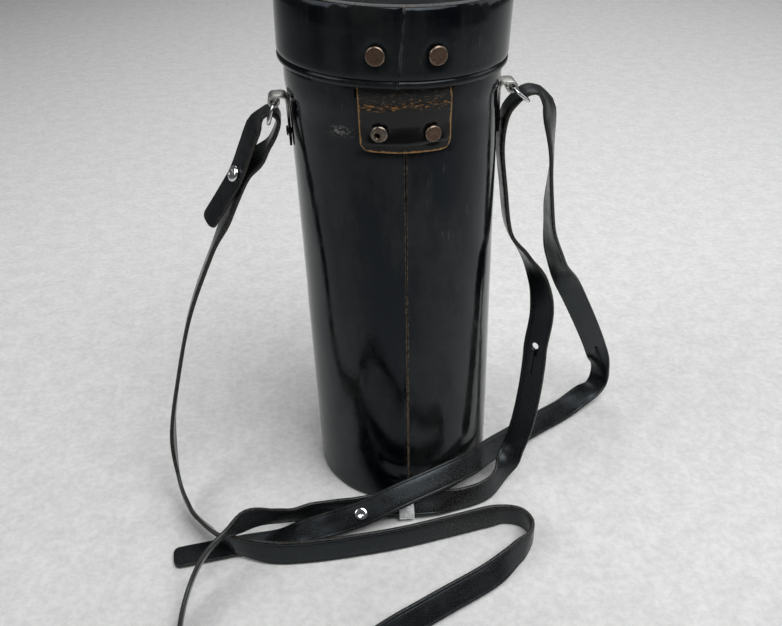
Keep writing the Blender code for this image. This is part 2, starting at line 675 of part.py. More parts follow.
def make_ring(name, side, lean, chrome):
    """Rounded rectangular wire ring that hangs in a lug, leaning out from straight down."""
    tilt = math.radians(lean)
    hang = Vector((side * math.sin(tilt), 0.0, -math.cos(tilt)))
    play = LUG_BORE / 2.0 - RING_WIRE / 2.0 - SEAT_GAP
    pivot = lug_knuckle_centre(side) + hang * play
    half = RING_WIDTH / 2.0 - RING_CORNER
    outline = []
    for corner_across, corner_along, start in (
        (half, RING_LENGTH - RING_CORNER, 0.0),
        (-half, RING_LENGTH - RING_CORNER, 90.0),
        (-half, RING_CORNER, 180.0),
        (half, RING_CORNER, 270.0),
    ):
        outline += arc((corner_across, corner_along), (RING_CORNER, RING_CORNER), start, start + 90.0, 4)
    curve = bpy.data.curves.new(name, "CURVE")
    curve.dimensions = "3D"
    curve.bevel_depth = RING_WIRE / 2.0
    curve.bevel_resolution = 2
    spline = curve.splines.new("POLY")
    spline.points.add(len(outline) - 1)
    spline.use_cyclic_u = True
    for point, (across, along) in zip(spline.points, outline):
        place = Vector((0.0, across, 0.0)) + hang * along
        point.co = (*place, 1.0)
    curve.materials.append(chrome)
    ring = bpy.data.objects.new(name, curve)
    ring.location = pivot
    bpy.context.scene.collection.objects.link(ring)
    return ring


def make_closing_tab(leather, snap_metal, copper, guide, lid_wall, body_shell):
    """Closing tab at the front: an anchored leaf, a flap that flexes, its rivets and the press stud."""
    seat = LID_RADIUS + SEAT_GAP
    outer = seat + TAB_LEATHER
    split = SEAT_GAP / 2.0
    anchor = leather_leaf(
        "closing_tab_anchor", leather, TAB_WIDTH / 2.0,
        [(seat, outer, TAB_FLEX + split), (seat, outer, TAB_TOP)], TAB_CORNER, False, math.pi,
    )
    corner_top = TAB_BOTTOM + TAB_CORNER + LEAF_CORNER_MARGIN
    rows = [(seat, outer, TAB_BOTTOM), (seat, outer, corner_top), (seat, outer, TAB_FLEX - split)]
    flap = leather_leaf("closing_tab_flap", leather, TAB_WIDTH / 2.0, rows, TAB_CORNER, True, math.pi)
    for side, angle in spread(TAB_RIVET_SPACING, LID_RADIUS):
        wall_rivet(
            "closing_tab_rivet_" + side, copper, (anchor, lid_wall), math.pi + angle, TAB_RIVET_HEIGHT,
            outer, LID_RADIUS - LID_WALL, TAB_RIVET_DIAMETER, RIVET_DOME, guide,
        )
    make_press_stud(snap_metal, guide, flap, body_shell, seat, outer)


def make_press_stud(metal, guide, flap, body_shell, flap_inner, flap_outer):
    """Press stud: cap and socket grip the flap, stud and post grip the case wall."""
    cap_seat = flap_outer + SEAT_GAP
    half = SNAP_CAP_DIAMETER / 2.0
    shank = RIVET_SHANK / 2.0
    reach = cap_seat - flap_inner
    cap = [(0.0, SNAP_CAP_DOME)] + arc((0.0, SNAP_CAP_EDGE), (half, SNAP_CAP_DOME - SNAP_CAP_EDGE), 75.0, 0.0, 5)
    cap += [(half, 0.0), (shank, 0.0), (shank, -reach), (0.0, -reach)]
    add_object("snap_cap", turned(cap, RIVET_STEPS), metal, outward_matrix(math.pi, cap_seat, SNAP_HEIGHT))
    socket_top = flap_inner - SEAT_GAP
    socket_half = SNAP_SOCKET_DIAMETER / 2.0
    socket = [(0.0, 0.0), (socket_half, 0.0), (socket_half, -SNAP_SOCKET_THICKNESS), (0.0, -SNAP_SOCKET_THICKNESS)]
    add_object("snap_socket", turned(socket, RIVET_STEPS), metal, outward_matrix(math.pi, socket_top, SNAP_HEIGHT))
    cut(flap, hole_through("snap_cap_hole", guide, math.pi, cap_seat, flap_inner, SNAP_HEIGHT, RIVET_SHANK))
    wall_outer = BODY_RADIUS + SEAT_GAP
    knob_tip = socket_top - SNAP_SOCKET_THICKNESS - SEAT_GAP - wall_outer
    knob = SNAP_KNOB_DIAMETER / 2.0
    flange = SNAP_FLANGE_DIAMETER / 2.0
    wall = BODY_WALL + 2.0 * SEAT_GAP
    neck = knob * 0.8
    stud = [(0.0, knob_tip), (knob * 0.7, knob_tip), (knob, knob_tip - SNAP_KNOB_EDGE), (neck, SNAP_FLANGE_THICKNESS)]
    stud += [(flange, SNAP_FLANGE_THICKNESS), (flange, 0.0), (0.0, 0.0)]
    add_object("snap_stud", turned(stud, RIVET_STEPS), metal, outward_matrix(math.pi, wall_outer, SNAP_HEIGHT))
    post = [(0.0, 0.0), (shank, 0.0), (shank, -wall + SEAT_GAP), (flange * 0.8, -wall + SEAT_GAP)]
    post += [(flange * 0.8, -wall + SEAT_GAP - SNAP_FLANGE_THICKNESS), (0.0, -wall + SEAT_GAP - SNAP_FLANGE_THICKNESS)]
    post_seat = wall_outer - SEAT_GAP
    add_object("snap_post", turned(post, RIVET_STEPS), metal, outward_matrix(math.pi, post_seat, SNAP_HEIGHT))
    inner = BODY_RADIUS - BODY_WALL
    cut(body_shell, hole_through("snap_post_hole", guide, math.pi, wall_outer, inner, SNAP_HEIGHT, RIVET_SHANK))


def spline_point(points, position):
    """Point on a smooth curve through all points; position counts knots from 0."""
    last = len(points) - 1
    index = min(int(position), last - 1)
    share = position - index
    p1 = points[index]
    p2 = points[index + 1]
    p0 = points[index - 1] if index > 0 else p1 * 2.0 - p2
    p3 = points[index + 2] if index + 2 <= last else p2 * 2.0 - p1
    slope1 = (p2 - p0) * 0.5
    slope2 = (p3 - p1) * 0.5
    square = share * share
    cube = square * share
    return (
        p1 * (2.0 * cube - 3.0 * square + 1.0)
        + slope1 * (cube - 2.0 * square + share)
        + p2 * (3.0 * square - 2.0 * cube)
        + slope2 * (cube - square)
    )


def end_share(from_end):
    """Share of the strap's width at a distance from one of its rounded ends."""
    short = STRAP_END_ROUND - min(from_end, STRAP_END_ROUND)
    lift = STRAP_END_ROUND - math.sqrt(STRAP_END_ROUND**2 - short**2)
    return 1.0 - lift / (STRAP_WIDTH / 2.0)


def strap_samples():
    """Points, width directions and width shares along the strap, about one step apart."""
    knots = [Vector(knot[:3]) * MM for knot in STRAP_ROUTE]
    across = [Vector(knot[3]).normalized() for knot in STRAP_ROUTE]
    path = []
    widths = []
    shares = []
    last = len(knots) - 2
    for index in range(last + 1):
        span = (knots[index + 1] - knots[index]).length
        steps = max(2, round(span / STRAP_STEP))
        places = [step / steps for step in range(steps)]
        rounds = [STRAP_END_ROUND * part / span for part in (0.1, 0.35, 1.0)]
        if index == 0:
            places = sorted(places + rounds)
        if index == last:
            places = sorted(places + [1.0 - place for place in rounds]) + [1.0]
        for place in places:
            path.append(spline_point(knots, index + place))
            widths.append(across[index].slerp(across[index + 1], place, across[index]))
            from_end = place * span if index == 0 else (1.0 - place) * span
            shares.append(end_share(from_end) if index in (0, last) else 1.0)
    return path, widths, shares


def strap_frame(mark):
    """Matrix at a named place on the strap: X along it, Y across it, Z out of its face."""
    knot = next(index for index, row in enumerate(STRAP_ROUTE) if mark in row[4:])
    knots = [Vector(row[:3]) * MM for row in STRAP_ROUTE]
    small = 0.02
    along = (spline_point(knots, knot + small) - spline_point(knots, knot - small)).normalized()
    across = Vector(STRAP_ROUTE[knot][3])
    across = (across - along * across.dot(along)).normalized()
    face = along.cross(across)
    turn = Matrix((along, across, face)).transposed().to_4x4()
    return Matrix.Translation(knots[knot]) @ turn


def make_strap(leather, guide):
    """The shoulder strap in one length, with the holes for its studs and its buttonhole."""
    path, widths, shares = strap_samples()
    builder = ribbon(path, widths, STRAP_WIDTH, STRAP_THICKNESS, shares=shares)
    strap = add_object("shoulder_strap", builder, leather)
    reach = STRAP_THICKNESS * 2.0
    for name, mark, diameter in (
        ("left_stud_hole", "left_stud", STUD_SHANK),
        ("left_stud_inner_hole", "left_stud_inner", STUD_SHANK),
        ("tail_stud_hole", "tail_stud", STUD_SHANK),
        ("button_hole", "button_hole", STRAP_HOLE_DIAMETER),
        ("tail_hole", "tail_hole", STRAP_TAIL_HOLE_DIAMETER),
    ):
        half = diameter / 2.0 + HOLE_CLEARANCE
        profile = [(0.0, reach), (half, reach), (half, -reach), (0.0, -reach)]
        cut(strap, add_object(name, turned(profile, RIVET_STEPS), guide, strap_frame(mark)))
    for name, mark, start, end in (
        ("button_slit", "button_hole", -BUTTON_SLIT_LENGTH, 0.0),
        ("outer_slit", "outer_slit", 0.0, OUTER_SLIT_LENGTH),
    ):
        side = STRAP_SLIT_WIDTH / 2.0
        sections = []
        for along in (start, end):
            sections.append([Vector((along, -side, -reach)), Vector((along, side, -reach)),
                             Vector((along, side, reach)), Vector((along, -side, reach))])
        cut(strap, add_object(name, loft(sections), guide, strap_frame(mark)))
    return strap


def stud_profile(length):
    """Strap stud: flat-topped dome with a shank below it."""
    half = STUD_DIAMETER / 2.0
    shank = STUD_SHANK / 2.0
    crown = [(0.0, STUD_DOME), (half * 0.5, STUD_DOME)]
    crown += arc((half * 0.5, STUD_EDGE), (half * 0.5, STUD_DOME - STUD_EDGE), 70.0, 0.0, 4)
    return crown + [(half, 0.0), (shank, 0.0), (shank, -length), (0.0, -length)]


def make_strap_stud(name, metal, layers, flip):
    """A stud through one or more layers of strap, with a round back on the other side."""
    matrix = strap_frame(name)
    if flip:
        matrix = matrix @ Matrix.Rotation(math.pi, 4, "X")
    grip = layers * (STRAP_THICKNESS + SEAT_GAP) + (layers - 1) * STRAP_LAYER_PLAY
    seat = STRAP_THICKNESS / 2.0 + SEAT_GAP
    lift = Matrix.Translation((0.0, 0.0, seat))
    add_object(name, turned(stud_profile(grip), RIVET_STEPS), metal, matrix @ lift)
    back = STUD_BACK_DIAMETER / 2.0
    low = -grip - SEAT_GAP - STUD_BACK_THICKNESS
    high = -grip - SEAT_GAP
    profile = [(0.0, high), (back, high), (back, low + STUD_BACK_ROUND_HEIGHT), (back - STUD_BACK_ROUND_DEPTH, low), (0.0, low)]
    add_object(name + "_back", turned(profile, RIVET_STEPS), metal, matrix @ lift)


def make_keeper(chrome):
    """Sheet-metal keeper that slides on the strap."""
    half_width = STRAP_WIDTH / 2.0 + KEEPER_CLEARANCE + KEEPER_SHEET / 2.0
    half_depth = STRAP_THICKNESS / 2.0 + KEEPER_CLEARANCE + KEEPER_SHEET / 2.0
    corner = KEEPER_CORNER
    outline = []
    for across, depth, start in (
        (half_width - corner, half_depth - corner, 0.0),
        (-half_width + corner, half_depth - corner, 90.0),
        (-half_width + corner, -half_depth + corner, 180.0),
        (half_width - corner, -half_depth + corner, 270.0),
    ):
        outline += arc((across, depth), (corner, corner), start, start + 90.0, 3)
    path = [Vector((0.0, across, depth)) for across, depth in outline]
    widths = [Vector((1.0, 0.0, 0.0))] * len(path)
    builder = ribbon(path, widths, KEEPER_LENGTH, KEEPER_SHEET, closed=True)
    return add_object("strap_keeper", builder, chrome, strap_frame("keeper"))


def hang_on_axis(name, place, pieces):
    """Parent moving pieces to an empty that stands on their joint axis."""
    empty = bpy.data.objects.new(name, None)
    empty.location = place
    bpy.context.scene.collection.objects.link(empty)
    bpy.context.view_layer.update()
    for piece in pieces:
        obj = bpy.data.objects[piece]
        obj.parent = empty
        obj.matrix_parent_inverse = empty.matrix_world.inverted()


def main():
    """Build every sub-part of the case."""
    clear_scene()
    black = finish_material("black_leather", (0.012, 0.013, 0.015), 0.28)
    strap_black = finish_material("strap_leather", (0.02, 0.021, 0.023), 0.42)
    hinge_black = finish_material("hinge_leather", (0.03, 0.026, 0.022), 0.5)
    board = finish_material("collar_board", (0.05, 0.045, 0.04), 0.7)
    felt = finish_material("felt", (0.06, 0.05, 0.045), 0.95)
    copper = finish_material("oxidised_rivet", (0.18, 0.12, 0.08), 0.45, 0.9)
    nickel = finish_material("dull_nickel", (0.55, 0.55, 0.53), 0.35, 1.0)
    chrome = finish_material("chrome", (0.8, 0.8, 0.8), 0.12, 1.0)
    guide = finish_material("guide", (0.5, 0.5, 0.5), 0.5)

    body_shell = make_body_shell(black)
    cut(body_shell, hinge_notch(guide))
    make_base(black, felt)
    make_collar(board)
    lid_wall = make_lid_wall(black)
    cut_seams(body_shell, lid_wall, guide)
    make_lid_top(black, felt)
    lower_leaf, upper_leaf = make_hinge(hinge_black)
    make_hinge_rivets(copper, guide, lower_leaf, upper_leaf, body_shell, lid_wall)
    make_closing_tab(black, nickel, copper, guide, lid_wall, body_shell)
    for side_name, side, lean in (("left", -1.0, LEFT_RING_LEAN), ("right", 1.0, RIGHT_RING_LEAN)):
        lug = make_lug("lug_" + side_name, side, nickel)
        wall_rivet(
            "lug_rivet_" + side_name, nickel, (lug, body_shell), side * math.pi / 2.0, LUG_RIVET_HEIGHT,
            BODY_RADIUS + SEAT_GAP + LUG_SHEET, BODY_RADIUS - BODY_WALL, LUG_RIVET_DIAMETER, LUG_RIVET_DOME, guide,
        )
        make_ring("ring_" + side_name, side, lean, chrome)
    make_strap(strap_black, guide)
    make_strap_stud("left_stud", chrome, 2, True)
    make_strap_stud("tail_stud", chrome, 1, False)
    make_keeper(chrome)
    hinge_line = body_radius(HINGE_CREASE) + SEAT_GAP + HINGE_LEATHER + HINGE_AXIS_STANDOFF
    hang_on_axis("lid_hinge_axis", (0.0, -hinge_line, HINGE_CREASE), LID_PIECES)
    flex_line = LID_RADIUS + SEAT_GAP + TAB_LEATHER + HINGE_AXIS_STANDOFF
    hang_on_axis("closing_flap_axis", (0.0, flex_line, TAB_FLEX), FLAP_PIECES)


main()
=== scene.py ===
"""Looks of a black leather carrying case with a hinged lid and a long shoulder strap.

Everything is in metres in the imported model's frame: +Z up, the leather hinge at -Y, the closing
tab at +Y and the strap lugs at -X and +X. The case stands on its base at z = 0.
"""

import logging
import math
from dataclasses import dataclass, field, replace
from enum import Enum
from functools import cache
from itertools import accumulate
from typing import Sequence

import bmesh
import bpy
from mathutils import Matrix, Vector, noise


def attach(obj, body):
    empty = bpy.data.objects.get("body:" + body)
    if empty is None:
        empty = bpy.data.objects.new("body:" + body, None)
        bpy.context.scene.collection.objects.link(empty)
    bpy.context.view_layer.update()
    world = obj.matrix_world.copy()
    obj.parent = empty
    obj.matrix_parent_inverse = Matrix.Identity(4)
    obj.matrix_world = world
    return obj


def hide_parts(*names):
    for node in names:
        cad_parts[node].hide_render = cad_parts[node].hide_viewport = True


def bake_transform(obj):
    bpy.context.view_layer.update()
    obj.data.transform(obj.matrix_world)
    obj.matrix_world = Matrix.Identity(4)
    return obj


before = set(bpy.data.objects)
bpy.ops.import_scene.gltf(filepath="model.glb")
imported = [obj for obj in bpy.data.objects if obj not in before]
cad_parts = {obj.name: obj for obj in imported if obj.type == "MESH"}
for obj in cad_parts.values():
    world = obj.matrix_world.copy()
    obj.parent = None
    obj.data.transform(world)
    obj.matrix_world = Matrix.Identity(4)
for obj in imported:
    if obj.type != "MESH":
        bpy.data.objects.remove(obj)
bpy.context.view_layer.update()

LOG = logging.getLogger("case")
MM = 0.001
IMAGE_WIDTH = 782
CASE_RADIUS = 50.5 * MM
LID_RADIUS = 54.5 * MM
LID_SEAT = Matrix.Translation((0.0, 0.0, 245.0 * MM))
LID_LEAN = LID_SEAT @ Matrix.Rotation(math.radians(2.6), 4, "Y") @ LID_SEAT.inverted()
LID_RIVET_SIDE = 13.1 * MM
LID_RIVET_HEIGHT = 258.8 * MM
HINGE_RIVET_SIDE = 11.8 * MM
TAB_RIVET_SIDE = 6.0 * MM
TAB_RIVET_HEIGHT = 262.0 * MM
WALL_GAP = 0.3 * MM
SIDES = {"left": -1.0, "right": 1.0}
ORIGIN = (0.0, 0.0, 0.0)
UP = (0.0, 0.0, 1.0)
Outline = list[tuple[float, float]]
Colour = tuple[float, float, float, float]
Spot = tuple[float, float, float]
Ring = list[bmesh.types.BMVert]


class Body(Enum):
    """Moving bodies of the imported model."""

    CASE = "case"
    LID = "lid"
    FLAP = "closing_flap"
    LEFT_RING = "left_ring"
    RIGHT_RING = "right_ring"
    KEEPER = "keeper"


class Across(Enum):
    """Directions across the strap's width along its route."""

    NEAR = (0.0, -1.0, 0.0)
    FAR = (0.0, 1.0, 0.0)
    UPRIGHT = (0.0, 0.0, 1.0)
    LEANING = (0.0, 0.7, 0.7)
    STEEP = (0.0, 0.4, 0.92)
    SHALLOW = (0.0, 0.88, 0.47)
    TURNED_LEFT = (0.4, -0.9, -0.2)
    TURNING_LEFT = (0.2, -0.97, -0.1)
    ROLLING_UP = (0.15, -0.55, 0.8)
    LEANING_LEFT = (-0.33, -0.33, 0.88)
    NEAR_UPRIGHT = (0.0, 0.2, 0.98)
    ROLLED_BACK = (0.05, -0.3, 0.95)
    OPEN_RIGHT = (0.6, 0.8, 0.0)
    FAR_RIGHT = (0.3, 0.95, 0.0)
    FACING_INNER = (-0.78, 0.62, 0.0)
    FACING_OUTER = (-0.85, 0.0, -0.53)
    TURNING_BACK = (-0.58, 0.81, -0.1)
    LYING_BACK = (-0.25, 0.85, 0.45)
    TWIST_INNER = (-0.6, 0.8, 0.0)
    TWIST_INNER_END = (-0.25, 0.97, 0.0)
    TWIST_OUTER_START = (-0.08, 0.99, -0.08)
    TWIST_OUTER = (-0.48, 0.82, -0.3)


Knot = tuple[float, float, float, Across]


def bell(distance: float, width: float) -> float:
    """Smooth hump: 1 at no distance, and soon 0 beyond the width."""
    return math.exp(-((distance / width) ** 2))


def clamp(value: float) -> float:
    """A value kept between 0 and 1."""
    return max(0.0, min(1.0, value))


def blended(low: float, high: float, share: float) -> float:
    """A value a share of the way from low to high."""
    return low + (high - low) * share


def hinge_rivet_height(side: float) -> float:
    """Height of a hinge rivet; the left one sits a little higher."""
    return (224.8 - side * 0.6) * MM


class NodeBench:
    """Adds and wires the nodes of one shader tree."""

    def __init__(self, tree: bpy.types.NodeTree) -> None:
        """Keep the tree that the nodes go into."""
        self.tree = tree

    def add(self, kind: str, **settings: object) -> bpy.types.Node:
        """Add a node and set its properties.

        Args:
            kind: Blender's node type name.
            settings: Node properties by name.

        Returns:
            The new node.
        """
        node = self.tree.nodes.new(kind)
        for name, value in settings.items():
            setattr(node, name, value)
        return node

    def feed(self, socket: bpy.types.NodeSocket, value: object) -> None:
        """Link a socket to an output, or set its constant.

        Args:
            socket: Input to fill.
            value: An output socket or a plain value.
        """
        if isinstance(value, bpy.types.NodeSocket):
            self.tree.links.new(value, socket)
        else:
            socket.default_value = value

    def fill(self, node: bpy.types.Node, **values: object) -> bpy.types.Node:
        """Feed several inputs of a node.

        Args:
            node: Node to fill.
            values: Inputs by name, with underscores for spaces.

        Returns:
            The same node.
        """
        for name, value in values.items():
            self.feed(node.inputs[name.replace("_", " ")], value)
        return node

    def noise(
        self, vector: object, scale: object, detail: float = 3.0, rough: float = 0.55
    ) -> bpy.types.NodeSocket:
        """Noise value: scale in waves per metre, detail in octaves, rough for the finer ones' strength."""
        node = self.add("ShaderNodeTexNoise")
        return self.fill(node, Vector=vector, Scale=scale, Detail=detail, Roughness=rough).outputs[0]

    def cells(self, vector: object, scale: object) -> bpy.types.NodeSocket:
        """Distance to the nearest cell edge, as on pebbled hide; scale in cells per metre."""
        node = self.add("ShaderNodeTexVoronoi", feature="DISTANCE_TO_EDGE")
        return self.fill(node, Vector=vector, Scale=scale).outputs["Distance"]

    def fit(
        self, value: object, low: float, high: float, to_low: float = 0.0, to_high: float = 1.0
    ) -> bpy.types.NodeSocket:
        """Smoothly map one range of values onto another.

        Args:
            value: Value to map.
            low: Value that gives to_low.
            high: Value that gives to_high.
            to_low: Result at low and beyond it.
            to_high: Result at high and beyond it.

        Returns:
            The mapped value.
        """
        node = self.add("ShaderNodeMapRange", interpolation_type="SMOOTHSTEP")
        self.fill(node, Value=value, From_Min=low, From_Max=high, To_Min=to_low, To_Max=to_high)
        return node.outputs["Result"]

    def calc(self, operation: str, first: object, second: object) -> bpy.types.NodeSocket:
        """One step of arithmetic.

        Args:
            operation: Blender's name of the operation.
            first: First value.
            second: Second value.

        Returns:
            The result.
        """
        node = self.add("ShaderNodeMath", operation=operation)
        self.feed(node.inputs[0], first)
        self.feed(node.inputs[1], second)
        return node.outputs[0]

    def times(self, first: object, second: object) -> bpy.types.NodeSocket:
        """Product of two values."""
        return self.calc("MULTIPLY", first, second)

    def plus(self, first: object, second: object) -> bpy.types.NodeSocket:
        """Sum of two values."""
        return self.calc("ADD", first, second)

    def mix(self, factor: object, low: object, high: object) -> bpy.types.NodeSocket:
        """Mix two colours.

        Args:
            factor: 0 gives low, 1 gives high.
            low: First colour.
            high: Second colour.

        Returns:
            The mixed colour.
        """
        node = self.add("ShaderNodeMix", data_type="RGBA")
        self.feed(node.inputs[0], factor)
        self.feed(node.inputs[6], low)
        self.feed(node.inputs[7], high)
        return node.outputs[2]

    def stretch(self, vector: object, scale: Spot) -> bpy.types.NodeSocket:
        """Coordinates times a factor along each axis."""
        return self.fill(self.add("ShaderNodeMapping"), Vector=vector, Scale=scale).outputs[0]

    def bump(self, height: object, distance: float) -> bpy.types.NodeSocket:
        """Normal from a height; distance is the metres that a height of 1 stands for."""
        return self.fill(self.add("ShaderNodeBump"), Height=height, Distance=distance).outputs[0]

    def layers(self, ground: object, *over: tuple[object, object]) -> bpy.types.NodeSocket:
        """Lay colours over a ground, one after the other.

        Args:
            ground: Lowest colour.
            over: Pairs of a mask and the colour that shows where it is 1.

        Returns:
            The colour.
        """
        for mask, colour in over:
            ground = self.mix(mask, ground, colour)
        return ground

    def relief(self, *heights: tuple[object, float]) -> bpy.types.NodeSocket:
        """Normal from several heights.

        Args:
            heights: Pairs of a height and the metres that a height of 1 stands for.

        Returns:
            The bumped normal.
        """
        total = self.times(*heights[0])
        for height in heights[1:]:
            total = self.plus(total, self.times(*height))
        return self.bump(total, 1.0)

    def group(self, tree: bpy.types.NodeTree, **values: object) -> bpy.types.bpy_prop_collection:
        """Place a node group, fill its inputs and give its outputs."""
        return self.fill(self.add("ShaderNodeGroup", node_tree=tree), **values).outputs

    def place(self) -> bpy.types.NodeSocket:
        """Object coordinates."""
        return self.add("ShaderNodeTexCoord").outputs["Object"]

    def mask(self, name: str) -> bpy.types.NodeSocket:
        """A value stored on the piece's points."""
        return self.add("ShaderNodeAttribute", attribute_name=name).outputs["Fac"]


class SharedEffects:
    """Node groups that several finishes use."""

    @staticmethod
    def start(
        name: str, inputs: Sequence[str], outputs: Sequence[str]
    ) -> tuple[NodeBench, bpy.types.NodeTree, bpy.types.bpy_prop_collection, bpy.types.Node]:
        """Begin a group with a vector, some numbers in and some numbers out.

        Args:
            name: Group name.
            inputs: Names of the number inputs.
            outputs: Names of the number outputs.

        Returns:
            The bench, the group, what comes into it and its output node.
        """
        group = bpy.data.node_groups.new(name, "ShaderNodeTree")
        group.interface.new_socket(name="Vector", in_out="INPUT", socket_type="NodeSocketVector")
        for label in inputs:
            group.interface.new_socket(name=label, in_out="INPUT", socket_type="NodeSocketFloat")
        for label in outputs:
            group.interface.new_socket(name=label, in_out="OUTPUT", socket_type="NodeSocketFloat")
        bench = NodeBench(group)
        return bench, group, bench.add("NodeGroupInput").outputs, bench.add("NodeGroupOutput")

    @classmethod
    @cache
    def hide(cls) -> bpy.types.NodeTree:
        """Hide surface: fine pores, soft wrinkles, a slow swell, gloss mottling and hair scratches.

        Returns:
            The group, made once.
        """
        bench, group, given, target = cls.start(
            "hide_surface", ("Pore Scale", "Wrinkle Scale"),
            ("Pores", "Wrinkles", "Swell", "Mottle", "Scratches"),
        )
        vector = given["Vector"]
        streaks = bench.noise(bench.stretch(vector, (1.0, 1.0, 0.12)), 900.0, 2.0, 0.5)
        patches = bench.fit(bench.noise(vector, 38.0, 2.0), 0.5, 0.68)
        bench.fill(
            target,
            Pores=bench.fit(bench.cells(vector, given["Pore Scale"]), 0.0, 0.22),
            Wrinkles=bench.noise(vector, given["Wrinkle Scale"], 5.0, 0.6),
            Swell=bench.noise(bench.stretch(vector, (1.0, 1.0, 0.45)), 26.0, 2.0, 0.4),
            Mottle=bench.fit(bench.noise(vector, 75.0, 4.0, 0.65), 0.35, 0.7),
            Scratches=bench.times(bench.fit(streaks, 0.66, 0.74), patches),
        )
        return group

    @classmethod
    @cache
    def fray(cls) -> bpy.types.NodeTree:
        """Broken-up edge wear from a stored rim value.

        Returns:
            The group, made once.
        """
        bench, group, given, target = cls.start("edge_fray", ("Rim", "Scale"), ("Mask",))
        rough = bench.noise(given["Vector"], given["Scale"], 4.0, 0.65)
        lifted = bench.plus(given["Rim"], bench.fit(rough, 0.3, 0.7, -0.45, 0.3))
        bench.fill(target, Mask=bench.fit(lifted, 0.45, 0.75))
        return group

    @classmethod
    @cache
    def tarnish(cls) -> bpy.types.NodeTree:
        """Patches and fine rubbing marks of old plated metal.

        Returns:
            The group, made once.
        """
        bench, group, given, target = cls.start("tarnish", ("Scale",), ("Patches", "Rubs"))
        vector = given["Vector"]
        patches = bench.fit(bench.noise(vector, given["Scale"], 5.0, 0.7), 0.38, 0.68)
        rubs = bench.noise(bench.stretch(vector, (1.0, 1.0, 6.0)), 1400.0, 2.0, 0.6)
        bench.fill(target, Patches=patches, Rubs=rubs)
        return group


@dataclass(frozen=True)
class Finish:
    """A finish with its record slot; subclasses wire its nodes."""

    name: str
    slot: str
    colour: Colour

    def material(self) -> bpy.types.Material:
        """Make the material, once.

        Returns:
            The material.
        """
        known = bpy.data.materials.get(self.name)
        if known is not None:
            return known
        made = bpy.data.materials.new(self.name)
        made.use_nodes = True
        bench = NodeBench(made.node_tree)
        self.wire(bench, made.node_tree.nodes["Principled BSDF"])
        return made

    def shade(self, factor: float) -> Colour:
        """The finish's colour, lighter or darker by a factor."""
        return (*(part * factor for part in self.colour[:3]), 1.0)

    def wire(self, bench: NodeBench, shader: bpy.types.Node) -> None:
        """Wire the finish's nodes, which each kind of finish does in its own way."""
        raise NotImplementedError

    def dress(self, piece: bpy.types.Object) -> None:
        """Give a piece this finish.

        Args:
            piece: Piece to dress.
        """
        piece.data.materials.clear()
        piece.data.materials.append(self.material())


@dataclass(frozen=True)
class Leather(Finish):
    """Leather of any kind, with the scales of its hide's grain."""

    pore_scale: float = 900.0
    wrinkle_scale: float = 130.0

    def hide(self, bench: NodeBench, vector: bpy.types.NodeSocket) -> bpy.types.bpy_prop_collection:
        """The shared hide surface at this leather's own scales."""
        scales = {"Pore_Scale": self.pore_scale, "Wrinkle_Scale": self.wrinkle_scale}
        return bench.group(SharedEffects.hide(), Vector=vector, **scales)


@dataclass(frozen=True)
class PolishedLeather(Leather):
    """Hard, polished black leather of the case and lid."""

    worn: Colour = (0.12, 0.088, 0.058, 1.0)
    scraped: Colour = (0.3, 0.29, 0.27, 1.0)
    scratched: Colour = (0.2, 0.2, 0.19, 1.0)
    # Greyer colour of cloudy patches where the polish is duller: painted sheen.
    dull: Colour = (0.0135, 0.0141, 0.014, 1.0)
    cool_shine: Colour = (0.78, 0.89, 1.0, 1.0)
    refraction: float = 1.32
    cloud_scale: float = 24.0
    fray_scale: float = 700.0
    stroke_scale: float = 1100.0
    gloss: tuple[float, float] = (0.07, 0.17)
    swell_depth: float = 0.6 * MM
    wrinkle_depth: float = 0.085 * MM
    pore_depth: float = 0.004 * MM
    graze_depth: float = 0.12 * MM

    def wire(self, bench: NodeBench, shader: bpy.types.Node) -> None:
        """Black with a slow swell in its gloss, greyer cloudy patches of painted sheen, faint pores, hair
        scratches and worn raw edges.

        Args:
            bench: Bench of the material.
            shader: Its Principled node.
        """
        spot = bench.place()
        hide = self.hide(bench, spot)
        rim = bench.mask("rim")
        frayed = bench.group(SharedEffects.fray(), Vector=spot, Rim=rim, Scale=self.fray_scale)["Mask"]
        strokes = bench.noise(bench.stretch(spot, (0.5, 0.5, 1.0)), self.stroke_scale, 4.0, 0.7)
        grazed = bench.times(bench.fit(strokes, 0.48, 0.6), bench.mask("scuff"))
        # Cloudy patches, broken up by the wrinkles, turn the colour greyer: painted sheen where the polish is
        # duller.
        clouds = bench.noise(bench.stretch(spot, (1.0, 1.0, 0.35)), self.cloud_scale, 5.0, 0.68)
        broken = bench.fit(hide["Wrinkles"], 0.3, 0.6, 0.6, 1.0)
        painted_sheen = bench.times(bench.fit(clouds, 0.43, 0.6), broken)
        tint = bench.layers(
            self.colour, (painted_sheen, self.dull), (bench.times(hide["Scratches"], 0.14), self.scratched),
            (grazed, self.scraped), (frayed, self.worn),
        )
        rough = bench.plus(bench.fit(hide["Mottle"], 0.0, 1.0, *self.gloss), bench.times(frayed, 0.4))
        rough = bench.plus(rough, bench.times(grazed, 0.3))
        normal = bench.relief(
            (hide["Swell"], self.swell_depth), (hide["Wrinkles"], self.wrinkle_depth),
            (hide["Pores"], self.pore_depth), (grazed, self.graze_depth),
        )
        bench.fill(shader, Base_Color=tint, Roughness=rough, Normal=normal)
        bench.fill(shader, IOR=self.refraction, Specular_Tint=self.cool_shine)


